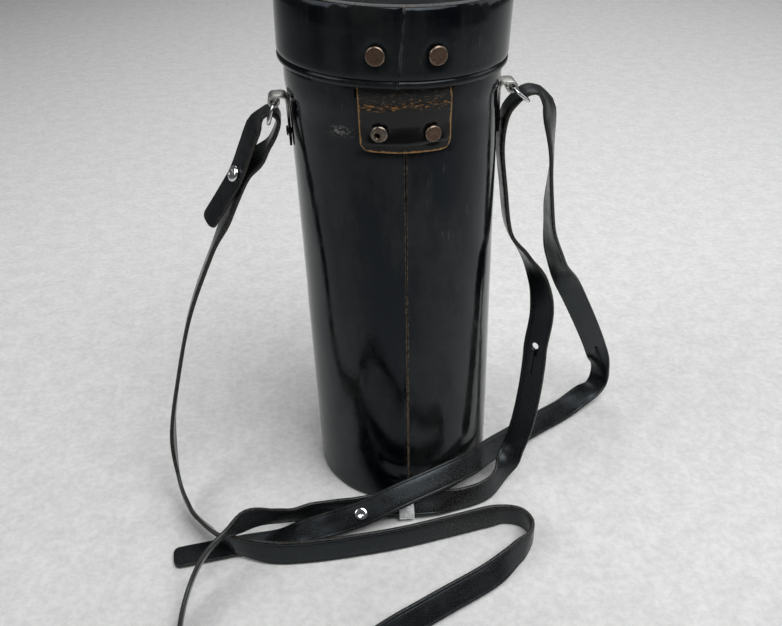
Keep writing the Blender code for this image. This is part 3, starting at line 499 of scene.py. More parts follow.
@dataclass(frozen=True)
class StrapLeather(Leather):
    """Semi-gloss strap leather with rubbed edges; it reads the strap's own lengthwise map."""

    rubbed: Colour = (0.075, 0.062, 0.048, 1.0)
    dusty: Colour = (0.16, 0.145, 0.125, 1.0)
    cool_shine: Colour = (0.8, 0.92, 1.0, 1.0)
    refraction: float = 1.42
    pore_scale: float = 1300.0
    wrinkle_scale: float = 420.0
    fray_scale: float = 260.0
    speckle_scale: float = 1500.0
    gloss: tuple[float, float] = (0.24, 0.36)
    wrinkle_depth: float = 0.055 * MM
    pore_depth: float = 0.012 * MM

    def wire(self, bench: NodeBench, shader: bpy.types.Node) -> None:
        """Black with fine grain along the strap, faintly rubbed edges and a dusty, speckled stretch.

        Args:
            bench: Bench of the material.
            shader: Its Principled node.
        """
        along = bench.add("ShaderNodeUVMap", uv_map="strap").outputs[0]
        hide = self.hide(bench, along)
        fray = bench.group(SharedEffects.fray(), Vector=along, Rim=bench.mask("rim"), Scale=self.fray_scale)
        speckle = bench.fit(bench.noise(along, self.speckle_scale, 4.0, 0.7), 0.5, 0.62)
        speckle = bench.times(speckle, bench.mask("scuff"))
        tint = bench.layers(
            self.colour, (hide["Mottle"], self.shade(1.5)), (bench.times(fray["Mask"], 0.3), self.rubbed),
            (bench.times(speckle, 0.5), self.dusty),
        )
        rough = bench.plus(bench.fit(hide["Mottle"], 0.0, 1.0, *self.gloss), bench.times(speckle, 0.3))
        normal = bench.relief((hide["Wrinkles"], self.wrinkle_depth), (hide["Pores"], self.pore_depth))
        bench.fill(shader, Base_Color=tint, Roughness=rough, Normal=normal)
        bench.fill(shader, IOR=self.refraction, Specular_Tint=self.cool_shine)


@dataclass(frozen=True)
class HingeLeather(Leather):
    """Worn tab leather: a tan raw edge and tan cracks across its bend."""

    raw: Colour = (0.5, 0.24, 0.055, 1.0)
    edge_dark: Colour = (0.14, 0.085, 0.04, 1.0)
    edge_light: Colour = (0.42, 0.23, 0.075, 1.0)
    fleck: Colour = (0.075, 0.055, 0.035, 1.0)
    edge_start: float = 0.92
    edge_full: float = 0.47
    refraction: float = 1.38
    pore_scale: float = 1100.0
    wrinkle_scale: float = 300.0
    wobble_scale: float = 420.0
    crack_scale: float = 1500.0
    break_scale: float = 150.0
    worn_scale: float = 260.0
    gloss: tuple[float, float] = (0.13, 0.48)
    crack_depth: float = -0.3 * MM
    ridge_depth: float = 0.9 * MM
    wrinkle_depth: float = 0.05 * MM

    def wire(self, bench: NodeBench, shader: bpy.types.Node) -> None:
        """Brown-black with a tan edge all round and cracks in the band where it bends.

        Args:
            bench: Bench of the material.
            shader: Its Principled node.
        """
        spot = bench.place()
        hide = self.hide(bench, spot)
        wobble = bench.fit(bench.noise(spot, self.wobble_scale, 4.0, 0.65), 0.3, 0.7, -0.3, 0.3)
        edge = bench.fit(bench.plus(bench.mask("edge_distance"), wobble), self.edge_start, self.edge_full)
        lines = bench.noise(bench.stretch(spot, (0.2, 0.2, 1.0)), self.crack_scale, 5.0, 0.75)
        broken = bench.fit(bench.noise(spot, self.break_scale, 3.0, 0.6), 0.12, 0.42)
        bend = bench.times(broken, bench.mask("crease"))
        crack = bench.fit(bench.plus(lines, bench.times(bend, 0.12)), 0.64, 0.69)
        crack = bench.times(crack, bench.fit(bend, 0.1, 0.45))
        dull = bench.mask("rough_zone")
        flecks = bench.times(dull, bench.fit(lines, 0.54, 0.62))
        worn = bench.mix(bench.noise(spot, self.worn_scale, 4.0, 0.6), self.edge_dark, self.edge_light)
        tint = bench.layers(
            self.colour, (hide["Mottle"], self.shade(1.6)), (flecks, self.fleck), (crack, self.raw),
            (edge, worn),
        )
        rough = bench.plus(bench.fit(dull, 0.0, 1.0, *self.gloss), bench.times(crack, 0.3))
        rough = bench.plus(rough, bench.times(edge, 0.3))
        normal = bench.relief(
            (crack, self.crack_depth), (bench.times(lines, dull), self.ridge_depth),
            (hide["Wrinkles"], self.wrinkle_depth),
        )
        bench.fill(shader, Base_Color=tint, Roughness=rough, Normal=normal, IOR=self.refraction)


@dataclass(frozen=True)
class AgedMetal(Finish):
    """Plated or copper metal with tarnish."""

    tarnished: Colour = (0.1, 0.08, 0.06, 1.0)
    bare: Colour = (0.8, 0.8, 0.79, 1.0)
    # Near-black in a broken cap's pressed-in part: painted shade of its hole.
    hole_shade: Colour = (0.004, 0.003, 0.003, 1.0)
    # Darker colour of a lug's leg below a height.
    dark_leg: Colour = (0.012, 0.012, 0.011, 1.0)
    amount: float = 0.4
    metallic: float = 1.0
    gloss: tuple[float, float] = (0.12, 0.3)
    patch_scale: float = 500.0
    rub_depth: float = 0.02 * MM

    def wire(self, bench: NodeBench, shader: bpy.types.Node) -> None:
        """Metal with tarnish patches, rubbing marks, a rubbed rim, painted shade in a broken cap's hole and a
        darker lug leg.

        Args:
            bench: Bench of the material.
            shader: Its Principled node.
        """
        wear = bench.group(SharedEffects.tarnish(), Vector=bench.place(), Scale=self.patch_scale)
        patches = bench.times(wear["Patches"], self.amount)
        rim = bench.mask("rim")
        # A broken cap's hole is painted near-black as shade, and a lug's leg is darker below a height.
        tint = bench.layers(
            self.colour, (patches, self.tarnished), (rim, self.bare), (bench.mask("hole_shade_depth"), self.hole_shade),
            (bench.mask("dark_leg"), self.dark_leg),
        )
        rough = bench.plus(bench.fit(patches, 0.0, self.amount, *self.gloss), bench.times(rim, -0.1))
        normal = bench.bump(wear["Rubs"], self.rub_depth)
        bench.fill(shader, Base_Color=tint, Metallic=self.metallic, Roughness=rough, Normal=normal)


@dataclass(frozen=True)
class Felt(Finish):
    """Matted felt of the inner pads."""

    fibre_scale: float = 1600.0
    fibre_depth: float = 0.3 * MM

    def wire(self, bench: NodeBench, shader: bpy.types.Node) -> None:
        """Fibrous colour and fuzz.

        Args:
            bench: Bench of the material.
            shader: Its Principled node.
        """
        fibre = bench.noise(bench.place(), self.fibre_scale, 5.0, 0.75)
        tint = bench.mix(fibre, self.colour, self.shade(2.4))
        normal = bench.bump(fibre, self.fibre_depth)
        bench.fill(shader, Base_Color=tint, Normal=normal, Roughness=0.95, Sheen_Weight=0.3)


@dataclass(frozen=True)
class RawBoard(Finish):
    """Undyed or stained cut leather inside seams and on the collar."""

    fibre_scale: float = 900.0
    fibre_depth: float = 0.15 * MM

    def wire(self, bench: NodeBench, shader: bpy.types.Node) -> None:
        """Fibrous cut leather.

        Args:
            bench: Bench of the material.
            shader: Its Principled node.
        """
        spot = bench.place()
        fibre = bench.noise(bench.stretch(spot, (1.0, 1.0, 0.25)), self.fibre_scale, 5.0, 0.7)
        tint = bench.mix(fibre, self.colour, self.shade(2.2))
        bench.fill(shader, Base_Color=tint, Normal=bench.bump(fibre, self.fibre_depth), Roughness=0.75)


@dataclass(frozen=True)
class PaperFloor(Finish):
    """Pale floor with the fine cloudy speckle of pressed fibres."""

    fibre_scale: float = 240.0
    cloud_scale: float = 70.0

    def wire(self, bench: NodeBench, shader: bpy.types.Node) -> None:
        """Pale grey with a fine speckle and soft clouds.

        Args:
            bench: Bench of the material.
            shader: Its Principled node.
        """
        spot = bench.place()
        fibres = bench.fit(bench.noise(spot, self.fibre_scale, 5.0, 0.72), 0.34, 0.66, 0.0, 0.65)
        clouds = bench.fit(bench.noise(spot, self.cloud_scale, 3.0, 0.6), 0.34, 0.66, 0.0, 0.35)
        tint = bench.mix(bench.plus(fibres, clouds), self.shade(0.8), self.colour)
        bench.fill(shader, Base_Color=tint, Roughness=0.8, Specular_IOR_Level=0.2)


BLACK = PolishedLeather("polished_black_leather", "black_leather", (0.0014, 0.0019, 0.003, 1.0))
# On the lid the seam's worn colour is a pale grey broken line: a painted highlight of the seam's raised lip.
LID_BLACK = replace(BLACK, name="polished_lid_leather", worn=(0.042, 0.045, 0.043, 1.0), fray_scale=190.0)
STRAP = StrapLeather("strap_black_leather", "strap_leather", (0.004, 0.0046, 0.0055, 1.0))
HINGE = HingeLeather("worn_hinge_leather", "hinge_leather", (0.0035, 0.0036, 0.0038, 1.0))
TAB = HingeLeather(
    "closing_tab_leather", "black_leather", (0.007, 0.0072, 0.008, 1.0), raw=(0.09, 0.06, 0.035, 1.0)
)
BOARD = RawBoard("collar_leather_board", "collar_board", (0.03, 0.026, 0.022, 1.0))
SEAM = RawBoard("raw_seam_edge", "black_leather", (0.06, 0.051, 0.041, 1.0))
FELT = Felt("inner_felt", "felt", (0.035, 0.028, 0.026, 1.0))
COPPER = AgedMetal(
    "oxidised_copper", "oxidised_rivet", (0.165, 0.108, 0.08, 1.0), tarnished=(0.085, 0.056, 0.041, 1.0),
    bare=(0.43, 0.36, 0.3, 1.0), amount=0.75, gloss=(0.36, 0.55), patch_scale=800.0,
)
SPLIT_COPPER = AgedMetal(
    "split_rivet_cap", "oxidised_rivet", (0.2, 0.165, 0.135, 1.0), tarnished=(0.11, 0.08, 0.06, 1.0),
    bare=(0.55, 0.5, 0.45, 1.0), amount=0.8, gloss=(0.3, 0.5), patch_scale=500.0,
)
NICKEL = AgedMetal(
    "dull_nickel_sheet", "dull_nickel", (0.6, 0.6, 0.57, 1.0), bare=(0.7, 0.7, 0.68, 1.0),
    amount=0.3, gloss=(0.34, 0.5),
)
# Darker nickel for the lug rivet, which sits on the lug's darker leg.
DARK_NICKEL = replace(
    NICKEL, name="dark_nickel", colour=(0.05, 0.05, 0.047, 1.0), bare=(0.12, 0.12, 0.115, 1.0)
)
SATIN = AgedMetal(
    "satin_keeper_plate", "chrome", (0.9, 0.91, 0.92, 1.0), amount=0.1, metallic=0.5, gloss=(0.24, 0.36)
)
CHROME = AgedMetal("bright_chrome", "chrome", (0.82, 0.82, 0.83, 1.0), amount=0.1, gloss=(0.06, 0.16))
PAPER = PaperFloor("pale_floor", "", (0.83, 0.835, 0.825, 1.0))


class Workshop:
    """Shared mesh steps."""

    @staticmethod
    def arc(
        centre: tuple[float, float], radii: tuple[float, float], start: float, end: float, steps: int
    ) -> Outline:
        """Points of an elliptical arc.

        Args:
            centre: Centre of the ellipse.
            radii: Its half axes.
            start: First angle in degrees.
            end: Last angle in degrees.
            steps: Pieces of the arc.

        Returns:
            The points.
        """
        points = []
        for index in range(steps + 1):
            angle = math.radians(start + (end - start) * index / steps)
            points.append((centre[0] + radii[0] * math.cos(angle), centre[1] + radii[1] * math.sin(angle)))
        return points

    @classmethod
    def rounded(cls, half: float, low: float, high: float, corner: float, steps: int) -> Outline:
        """Closed outline of a rectangle with round corners.

        Args:
            half: Distance of the corners' centres to each side.
            low: Level of the lower corners' centres.
            high: Level of the upper corners' centres.
            corner: Corner radius.
            steps: Pieces of each corner.

        Returns:
            The outline.
        """
        outline: Outline = []
        for quarter, centre in enumerate(((half, high), (-half, high), (-half, low), (half, low))):
            start = 90.0 * quarter
            outline += cls.arc(centre, (corner, corner), start, start + 90.0, steps)
        return outline

    @staticmethod
    def fine(outline: Outline, longest: float) -> Outline:
        """Add points so that no side of a closed outline is longer than a length.

        Args:
            outline: Closed outline.
            longest: Longest side allowed.

        Returns:
            The finer outline.
        """
        points: Outline = []
        for (r0, z0), (r1, z1) in zip(outline, outline[1:] + outline[:1]):
            parts = max(1, math.ceil(math.hypot(r1 - r0, z1 - z0) / longest))
            points += [(r0 + (r1 - r0) * k / parts, z0 + (z1 - z0) * k / parts) for k in range(parts)]
        return points

    @staticmethod
    def around(angle: float, radius: float, height: float) -> Vector:
        """Point at an angle from the back towards +X."""
        return Vector((radius * math.sin(angle), -radius * math.cos(angle), height))

    @classmethod
    def outward(cls, angle: float, radius: float, height: float) -> Matrix:
        """Matrix that takes local +Z outward at a place on the wall.

        Args:
            angle: Angle from the back towards +X.
            radius: Distance from the case axis.
            height: Height above the floor.

        Returns:
            The placing matrix.
        """
        out = cls.around(angle, 1.0, 0.0)
        up = Vector(UP)
        turn = Matrix((up.cross(out), up, out)).transposed().to_4x4()
        return Matrix.Translation(cls.around(angle, radius, height)) @ turn

    @staticmethod
    def turned(profile: Outline, steps: int = 96, matrix: Matrix | None = None) -> bmesh.types.BMesh:
        """Revolve a (radius, height) outline about Z.

        Args:
            profile: Outline; it is left open where both ends lie on the axis.
            steps: Pieces of the full turn.
            matrix: Where the solid goes; without one it stays at the origin.

        Returns:
            The closed solid.
        """
        bm = bmesh.new()
        on_axis = profile[0][0] == 0.0 and profile[-1][0] == 0.0
        verts = [bm.verts.new((radius, 0.0, height)) for radius, height in profile]
        ends = verts[1:] if on_axis else verts[1:] + verts[:1]
        edges = [bm.edges.new(pair) for pair in zip(verts, ends)]
        bmesh.ops.spin(
            bm, geom=verts + edges, axis=UP, cent=ORIGIN, angle=math.tau, steps=steps, use_merge=True
        )
        bmesh.ops.remove_doubles(bm, verts=bm.verts, dist=0.002 * MM)
        bmesh.ops.recalc_face_normals(bm, faces=bm.faces)
        if matrix is not None:
            bmesh.ops.transform(bm, matrix=matrix, verts=bm.verts)
        return bm

    @staticmethod
    def block(size: Spot, centre: Spot) -> bmesh.types.BMesh:
        """Box of a size about a centre.

        Args:
            size: Its three sides.
            centre: Its middle.

        Returns:
            The box.
        """
        bm = bmesh.new()
        bmesh.ops.create_cube(bm, size=1.0)
        bmesh.ops.scale(bm, vec=size, verts=bm.verts)
        bmesh.ops.translate(bm, vec=centre, verts=bm.verts)
        return bm

    @staticmethod
    def link(name: str, data: bpy.types.ID) -> bpy.types.Object:
        """Put new data into the scene as an object.

        Args:
            name: Object name.
            data: Mesh, curve, camera or light.

        Returns:
            The object.
        """
        obj = bpy.data.objects.new(name, data)
        bpy.context.scene.collection.objects.link(obj)
        return obj

    @classmethod
    def piece(cls, name: str, bm: bmesh.types.BMesh, finish: Finish, sharp: float = 40.0) -> bpy.types.Object:
        """Turn a bmesh into a dressed object at the origin.

        Args:
            name: Piece name.
            bm: Its mesh, freed here.
            finish: Its finish.
            sharp: Edges sharper than this many degrees stay sharp.

        Returns:
            The object.
        """
        mesh = bpy.data.meshes.new(name)
        bm.to_mesh(mesh)
        bm.free()
        mesh.shade_smooth()
        mesh.set_sharp_from_angle(angle=math.radians(sharp))
        obj = cls.link(name, mesh)
        finish.dress(obj)
        return obj

    @staticmethod
    def freeze(obj: bpy.types.Object) -> bpy.types.Object:
        """Apply a piece's modifiers to its mesh.

        Args:
            obj: Piece with live modifiers.

        Returns:
            The same piece.
        """
        view = bpy.context.evaluated_depsgraph_get()
        mesh = bpy.data.meshes.new_from_object(obj.evaluated_get(view))
        old = obj.data
        obj.modifiers.clear()
        obj.data = mesh
        bpy.data.meshes.remove(old)
        return obj

    @classmethod
    def thicken(
        cls, sheet: bpy.types.Object, thickness: float, rounding: float, rows: int, sharp: float,
        even: bool = False,
    ) -> bpy.types.Object:
        """Give a flat sheet its thickness and round its edges.

        Args:
            sheet: Piece without thickness.
            thickness: Its thickness, half of it on each side.
            rounding: Width of a rounded edge.
            rows: Rows of faces on a rounded edge.
            sharp: Edges sharper than this many degrees are rounded.
            even: Whether tight bends keep the thickness.

        Returns:
            The same piece.
        """
        shell = sheet.modifiers.new("thickness", "SOLIDIFY")
        shell.thickness = thickness
        shell.offset = 0.0
        shell.use_even_offset = even
        bevel = sheet.modifiers.new("rounding", "BEVEL")
        bevel.width = rounding
        bevel.segments = rows
        bevel.limit_method = "ANGLE"
        bevel.angle_limit = math.radians(sharp)
        return cls.freeze(sheet)

    @classmethod
    def cut(cls, obj: bpy.types.Object, cutter: bpy.types.Object) -> None:
        """Cut one piece out of another and drop the cutter.

        Args:
            obj: Piece to cut.
            cutter: Solid that is taken away.
        """
        modifier = obj.modifiers.new("cut", "BOOLEAN")
        modifier.operation = "DIFFERENCE"
        modifier.object = cutter
        cls.freeze(obj)
        bpy.data.objects.remove(cutter, do_unlink=True)

    @staticmethod
    def settle(obj: bpy.types.Object, body: Body, *nodes: str) -> bpy.types.Object:
        """Let a piece ride on a body and stand for CAD nodes.

        Args:
            obj: Piece.
            body: Body that carries it.
            nodes: CAD nodes that it replaces.

        Returns:
            The piece.
        """
        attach(obj, body.value)
        if nodes:
            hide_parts(*nodes)
        LOG.info("%s on %s", obj.name, body.value)
        return obj

    @staticmethod
    def flex(
        obj: bpy.types.Object, bodies: tuple[Body, Body], bend: Sequence[Sequence[float]], *nodes: str
    ) -> None:
        """Bake a piece's place into its mesh and let it stand for CAD nodes.

        Args:
            obj: Piece.
            bodies: Bodies for its first and its last end; not used.
            bend: Where the bend starts and where it ends; not used.
            nodes: CAD nodes that it replaces.
        """
        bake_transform(obj)
        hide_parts(*nodes)


@dataclass
class SplitWall:
    """A leather wall rolled into a tube whose ends meet in a butt seam."""

    name: str
    outline: Outline
    finish: Finish
    seam_top: float
    seam_bottom: float
    gap_top: float
    gap_bottom: float
    lip: float
    dip: float
    swell: float
    swell_low: float
    swell_high: float
    seed: float
    wear: float = 1.0
    pressed: tuple[Spot, ...] = ()
    tab: tuple[float, float] | None = None
    sags: tuple[tuple[float, float], ...] = ()
    sag_height: float = 9.0 * MM
    sag_depth: float = 1.3 * MM
    lip_width: float = 1.6 * MM
    dip_width: float = 5.0 * MM
    worn_width: float = 0.75 * MM
    rivet_press: float = 0.55 * MM
    rivet_spread: float = 1.5 * MM
    tab_press: float = 0.6 * MM
    tab_spread: float = 2.6 * MM
    crowding: float = 0.9
    open_angle: float = 0.001
    steps: int = 220

    def __post_init__(self) -> None:
        """Work out the wall's own limits."""
        radii = [radius for radius, _ in self.outline]
        heights = [height for _, height in self.outline]
        self.inner, self.outer = min(radii), max(radii)
        self.low, self.high = min(heights), max(heights)

    def build(self) -> bpy.types.Object:
        """Roll the wall, open its seam and let its surface swell a little.

        Returns:
            The wall piece.
        """
        bm = bmesh.new()
        ring = [bm.verts.new((0.0, -radius, height)) for radius, height in self.outline]
        edges = [bm.edges.new(pair) for pair in zip(ring, ring[1:] + ring[:1])]
        turn = math.tau - self.open_angle
        bmesh.ops.spin(bm, geom=ring + edges, axis=UP, cent=ORIGIN, angle=turn, steps=self.steps)
        bmesh.ops.edgeloop_fill(bm, edges=[edge for edge in bm.edges if edge.is_boundary])
        bmesh.ops.recalc_face_normals(bm, faces=bm.faces)
        rim = bm.verts.layers.float.new("rim")
        for vert in bm.verts:
            vert[rim] = self.shift(vert, (vert.co.z - self.low) / (self.high - self.low))
        return Workshop.piece(self.name, bm, self.finish)

    def shift(self, vert: bmesh.types.BMVert, share: float) -> float:
        """Move one point to its place by the seam, in the swell and under the rivets.

        Args:
            vert: Point to move.
            share: Its height, 0 at the bottom and 1 at the top.

        Returns:
            How much of a worn rim it has.
        """
        radius = math.hypot(vert.co.x, vert.co.y)
        turn = (math.atan2(vert.co.x, -vert.co.y) + self.open_angle / 2.0) % math.tau / math.tau
        turn -= self.crowding * math.sin(math.tau * turn) / math.tau
        gap = blended(self.gap_bottom, self.gap_top, share)
        gap *= 1.0 + 0.5 * noise.noise(Vector((vert.co.z * 60.0, self.seed, 0.0)))
        half = gap / 2.0 / radius
        angle = half + turn * (math.tau - 2.0 * half)
        from_seam = min(angle, math.tau - angle) * radius
        push = self.lip * bell(from_seam, self.lip_width)
        if angle < math.pi:
            push -= self.dip * bell(from_seam, self.dip_width)
        spot = Vector((vert.co.x * 28.0, vert.co.y * 28.0 + self.seed, vert.co.z * 34.0))
        shown = clamp((vert.co.z - self.swell_low) / (self.swell_high - self.swell_low))
        push += self.swell * noise.noise(spot) * shown
        angle += blended(self.seam_bottom, self.seam_top, share)
        depth = (radius - self.inner) / (self.outer - self.inner)
        push -= depth * (self.press(angle, vert.co.z) + self.sag(angle, vert.co.z))
        vert.co = Workshop.around(angle, radius + push, vert.co.z)
        return self.wear * bell(from_seam, self.worn_width)

    def press(self, angle: float, height: float) -> float:
        """How far the rivets and a riveted tab press the outer face in at a place.

        Args:
            angle: Angle round the axis.
            height: Height of the place.

        Returns:
            The depth.
        """
        deepest = 0.0
        for centre, level, reach in self.pressed:
            away = math.hypot(math.remainder(angle - centre, math.tau) * self.outer, height - level)
            deepest = max(deepest, self.rivet_press * bell(max(0.0, away - reach), self.rivet_spread))
        if self.tab:
            beside = max(0.0, abs(math.remainder(angle, math.tau)) * self.outer - self.tab[0])
            below = max(0.0, self.tab[1] - height)
            deepest = max(deepest, self.tab_press * bell(math.hypot(beside, below), self.tab_spread))
        return deepest

    def sag(self, angle: float, height: float) -> float:
        """How far the shoulder has sunk at a place.

        Args:
            angle: Angle round the axis.
            height: Height of the place.

        Returns:
            The depth.
        """
        rise = max(0.0, 1.0 - (self.high - height) / self.sag_height)
        ripple = 1.0 + 0.6 * noise.noise(Vector((angle * 10.0, height * 160.0, self.seed)))
        share = sum(bell(math.remainder(angle - centre, math.tau), spread) for centre, spread in self.sags)
        return self.sag_depth * share * ripple * rise**1.5


@dataclass
class CaseBody:
    """The case: wall, base, pad and mouth collar."""

    radius: float = CASE_RADIUS
    flare: float = 1.2 * MM
    wall: float = 2.2 * MM
    height: float = 248.0 * MM
    flare_start: float = 228.0 * MM
    flare_end: float = 236.0 * MM
    foot: float = 1.6 * MM
    collar_top: float = 254.0 * MM
    collar_wall: float = 1.6 * MM
    scuff_angle: float = math.radians(-34.5)
    scuff_height: float = 223.9 * MM
    scuff_length: float = 5.0 * MM
    scuff_width: float = 1.7 * MM
    scuff_rows: Sequence[int] = range(209, 225)
    notch_size: Spot = (42.4 * MM, 14.0 * MM, 20.0 * MM)
    notch_middle: float = 250.6 * MM

    def wall_outline(self) -> Outline:
        """Closed section of the wall, with a rounded foot and a flared mouth.

        Returns:
            The outline.
        """
        mouth = self.radius + self.flare
        outline = Workshop.arc((self.radius - self.foot, self.foot), (self.foot, self.foot), 270.0, 360.0, 6)
        outline += [(self.radius, level * MM) for level in self.scuff_rows]
        outline += [(self.radius, self.flare_start - 3.0 * MM)]
        outline += [(self.radius + 0.3 * self.flare, self.flare_start + 1.5 * MM)]
        outline += [(mouth - 0.2 * self.flare, self.flare_end - 2.0 * MM), (mouth, self.flare_end + 1.0 * MM)]
        outline += [(mouth, self.height - 0.6 * MM), (mouth - 0.5 * MM, self.height)]
        outline += [(mouth - self.wall, self.height)]
        outline += [(mouth - self.wall, self.flare_end), (self.radius - self.wall, self.flare_start)]
        return outline + [(self.radius - self.wall, 0.0)]

    def build(self) -> None:
        """Make the wall with its seam backing, the base, the pad and the collar."""
        wall = SplitWall(
            name="body_wall", outline=Workshop.fine(self.wall_outline(), 4.0 * MM), finish=BLACK,
            seam_top=math.radians(-0.1), seam_bottom=math.radians(-2.7),
            gap_top=0.75 * MM, gap_bottom=0.08 * MM, lip=0.3 * MM, dip=0.2 * MM, swell=0.25 * MM,
            swell_low=10.0 * MM, swell_high=60.0 * MM, seed=3.7, tab=(20.6 * MM, 217.0 * MM),
        )
        shell = wall.build()
        self.notch(shell)
        self.scuff(shell)
        Workshop.settle(shell, Body.CASE, "body_shell")
        self.build_backing()
        self.build_base()
        self.build_collar()

    def notch(self, shell: bpy.types.Object) -> None:
        """Cut the wall's mouth where the hinge leather goes into the lid."""
        block = Workshop.block(self.notch_size, (0.0, 0.5 * MM - self.radius, self.notch_middle))
        Workshop.cut(shell, Workshop.piece("notch_cutter", block, SEAM))

    def scuff(self, shell: bpy.types.Object) -> None:
        """Store the small scraped place beside the hinge tab.

        Args:
            shell: Wall piece.
        """
        layer = shell.data.attributes.new("scuff", "FLOAT", "POINT")
        for vert, mark in zip(shell.data.vertices, layer.data):
            across = (math.atan2(vert.co.x, -vert.co.y) - self.scuff_angle) * self.radius
            rise = vert.co.z - self.scuff_height
            mark.value = bell(across, self.scuff_length) * bell(rise, self.scuff_width)

    def build_backing(self) -> None:
        """Strip of raw leather that shows in the seam's gap."""
        width, height = 10.0 * MM, 235.0 * MM
        bottom, middle = 2.0 * MM, math.radians(-1.4)
        radius = self.radius - self.wall * 0.55
        bm = bmesh.new()
        bmesh.ops.create_grid(bm, x_segments=6, y_segments=40, size=0.5)
        for vert in bm.verts:
            angle = vert.co.x * width / self.radius + middle
            vert.co = Workshop.around(angle, radius, bottom + (vert.co.y + 0.5) * height)
        bmesh.ops.solidify(bm, geom=bm.faces, thickness=0.6 * MM)
        bmesh.ops.recalc_face_normals(bm, faces=bm.faces)
        backing = Workshop.piece("seam_backing", bm, SEAM)
        Workshop.settle(backing, Body.CASE)

    def build_base(self) -> None:
        """Leather base disc and its felt pad."""
        rim = self.radius - self.wall - WALL_GAP
        edge = 0.5 * MM
        thick = 3.0 * MM
        base = [(0.0, thick), (rim * 0.5, thick)]
        base += Workshop.arc((rim - edge, thick - edge), (edge, edge), 90.0, 0.0, 3)
        base += Workshop.arc((rim - edge, edge), (edge, edge), 0.0, -90.0, 3)
        disc = Workshop.turned(base + [(rim * 0.5, 0.0), (0.0, 0.0)])
        Workshop.settle(Workshop.piece("base_leather", disc, BLACK), Body.CASE, "base_disc")
        low, high = thick + WALL_GAP, 5.3 * MM
        pad = [(0.0, high), (rim * 0.5, high), (rim - 0.8 * MM, high), (rim, high - 0.6 * MM)]
        felt = Workshop.turned(pad + [(rim, low), (0.0, low)])
        Workshop.settle(Workshop.piece("base_felt", felt, FELT), Body.CASE, "base_pad")

    def build_collar(self) -> None:
        """Collar that the lid slips over."""
        outer = self.radius + self.flare - self.wall - WALL_GAP
        inner = outer - self.collar_wall
        half = self.collar_wall / 2.0
        low = self.flare_end + WALL_GAP
        outline = Workshop.arc((inner + half, self.collar_top - half), (half, half), 180.0, 0.0, 8)
        board = Workshop.turned(outline + [(outer, low), (inner, low)], 128)
        Workshop.settle(Workshop.piece("collar_board", board, BOARD), Body.CASE, "mouth_collar")


@dataclass
class Lid:
    """The lid: skirt, top disc and inner pad."""

    radius: float = LID_RADIUS
    wall: float = 2.35 * MM
    bottom: float = 244.7 * MM
    top: float = 278.0 * MM
    hem_height: float = 3.4 * MM
    hem_inset: float = 1.3 * MM
    crease_depth: float = 0.9 * MM
    crease_width: float = 1.2 * MM
    shoulder: float = 4.4 * MM

    def outline(self) -> Outline:
        """Closed section of the skirt: rounded hem, pressed crease, straight wall, rounded shoulder.

        Returns:
            The outline.
        """
        inner = self.radius - self.wall
        crease = self.bottom + self.hem_height
        groove = self.crease_width / 2.0
        rounding = self.wall - 0.4 * MM
        shoulder = self.top - self.shoulder
        roll = self.hem_height / 2.0
        outline = [(inner, self.top - 0.3 * MM)]
        outline += Workshop.arc((self.radius - rounding, shoulder), (rounding, self.shoulder), 90.0, 0.0, 10)
        outline += [(self.radius, crease + 4.0 * groove), (self.radius - 0.1 * MM, crease + 2.4 * groove)]
        outline += [(self.radius - 0.35 * MM, crease + groove), (self.radius - self.crease_depth, crease)]
        hem = (self.radius - self.hem_inset, self.bottom + roll)
        outline += Workshop.arc(hem, (self.hem_inset, roll), 65.0, -90.0, 12)
        return outline + [(inner, self.bottom)]

    def build(self) -> None:
        """Make the skirt, the top disc and the pad."""
        self.build_skirt()
        self.build_top()

    def build_skirt(self) -> None:
        """Skirt with its seam, pressed in round the rivets and sunk at the shoulder."""
        spot = (LID_RIVET_SIDE / self.radius, LID_RIVET_HEIGHT, 4.3 * MM)
        # The seam's worn rim, in the lid leather's pale grey, is a painted highlight along its raised lip.
        skirt = SplitWall(
            name="lid_skirt", outline=Workshop.fine(self.outline(), 1.1 * MM), finish=LID_BLACK,
            seam_top=math.radians(-1.6), seam_bottom=math.radians(-3.6),
            gap_top=0.22 * MM, gap_bottom=0.28 * MM, lip=0.34 * MM, dip=0.4 * MM, swell=0.36 * MM,
            swell_low=self.bottom + 14.0 * MM, swell_high=self.top - 4.0 * MM, seed=9.1, wear=0.95,
            pressed=((-spot[0], *spot[1:]), spot),
            sags=((math.radians(-31.0), math.radians(15.0)), (math.radians(31.0), math.radians(13.0))),
        )
        self.seat(skirt.build(), "lid_wall")

    def build_top(self) -> None:
        """Top disc with its raw edge, and the felt pad under it."""
        rim = self.radius - self.wall - WALL_GAP
        top = self.top - 0.2 * MM
        low = top - 2.6 * MM
        profile = [(0.0, top + 0.5 * MM), (rim * 0.3, top + 0.46 * MM), (rim * 0.6, top + 0.35 * MM)]
        profile += [(rim * 0.9, top + 0.12 * MM), (rim - 0.6 * MM, top), (rim, top - 0.5 * MM), (rim, low)]
        disc = Workshop.turned(profile + [(0.0, low)], 128)
        layer = disc.verts.layers.float.new("rim")
        for vert in disc.verts:
            vert[layer] = bell(rim - math.hypot(vert.co.x, vert.co.y), 0.8 * MM)
        self.seat(Workshop.piece("lid_top_leather", disc, BLACK), "lid_top_disc")
        rim -= 3.0 * MM
        high = low - WALL_GAP
        low = high - 1.5 * MM
        pad = [(0.0, high), (rim, high), (rim, high - 1.0 * MM), (rim - 0.6 * MM, low), (0.0, low)]
        self.seat(Workshop.piece("lid_felt", Workshop.turned(pad), FELT), "lid_pad")

    @staticmethod
    def seat(piece: bpy.types.Object, node: str) -> None:
        """Set a piece of the lid a little askew, as the worn lid sits, in place of its CAD node."""
        piece.data.transform(LID_LEAN)
        Workshop.settle(piece, Body.LID, node)


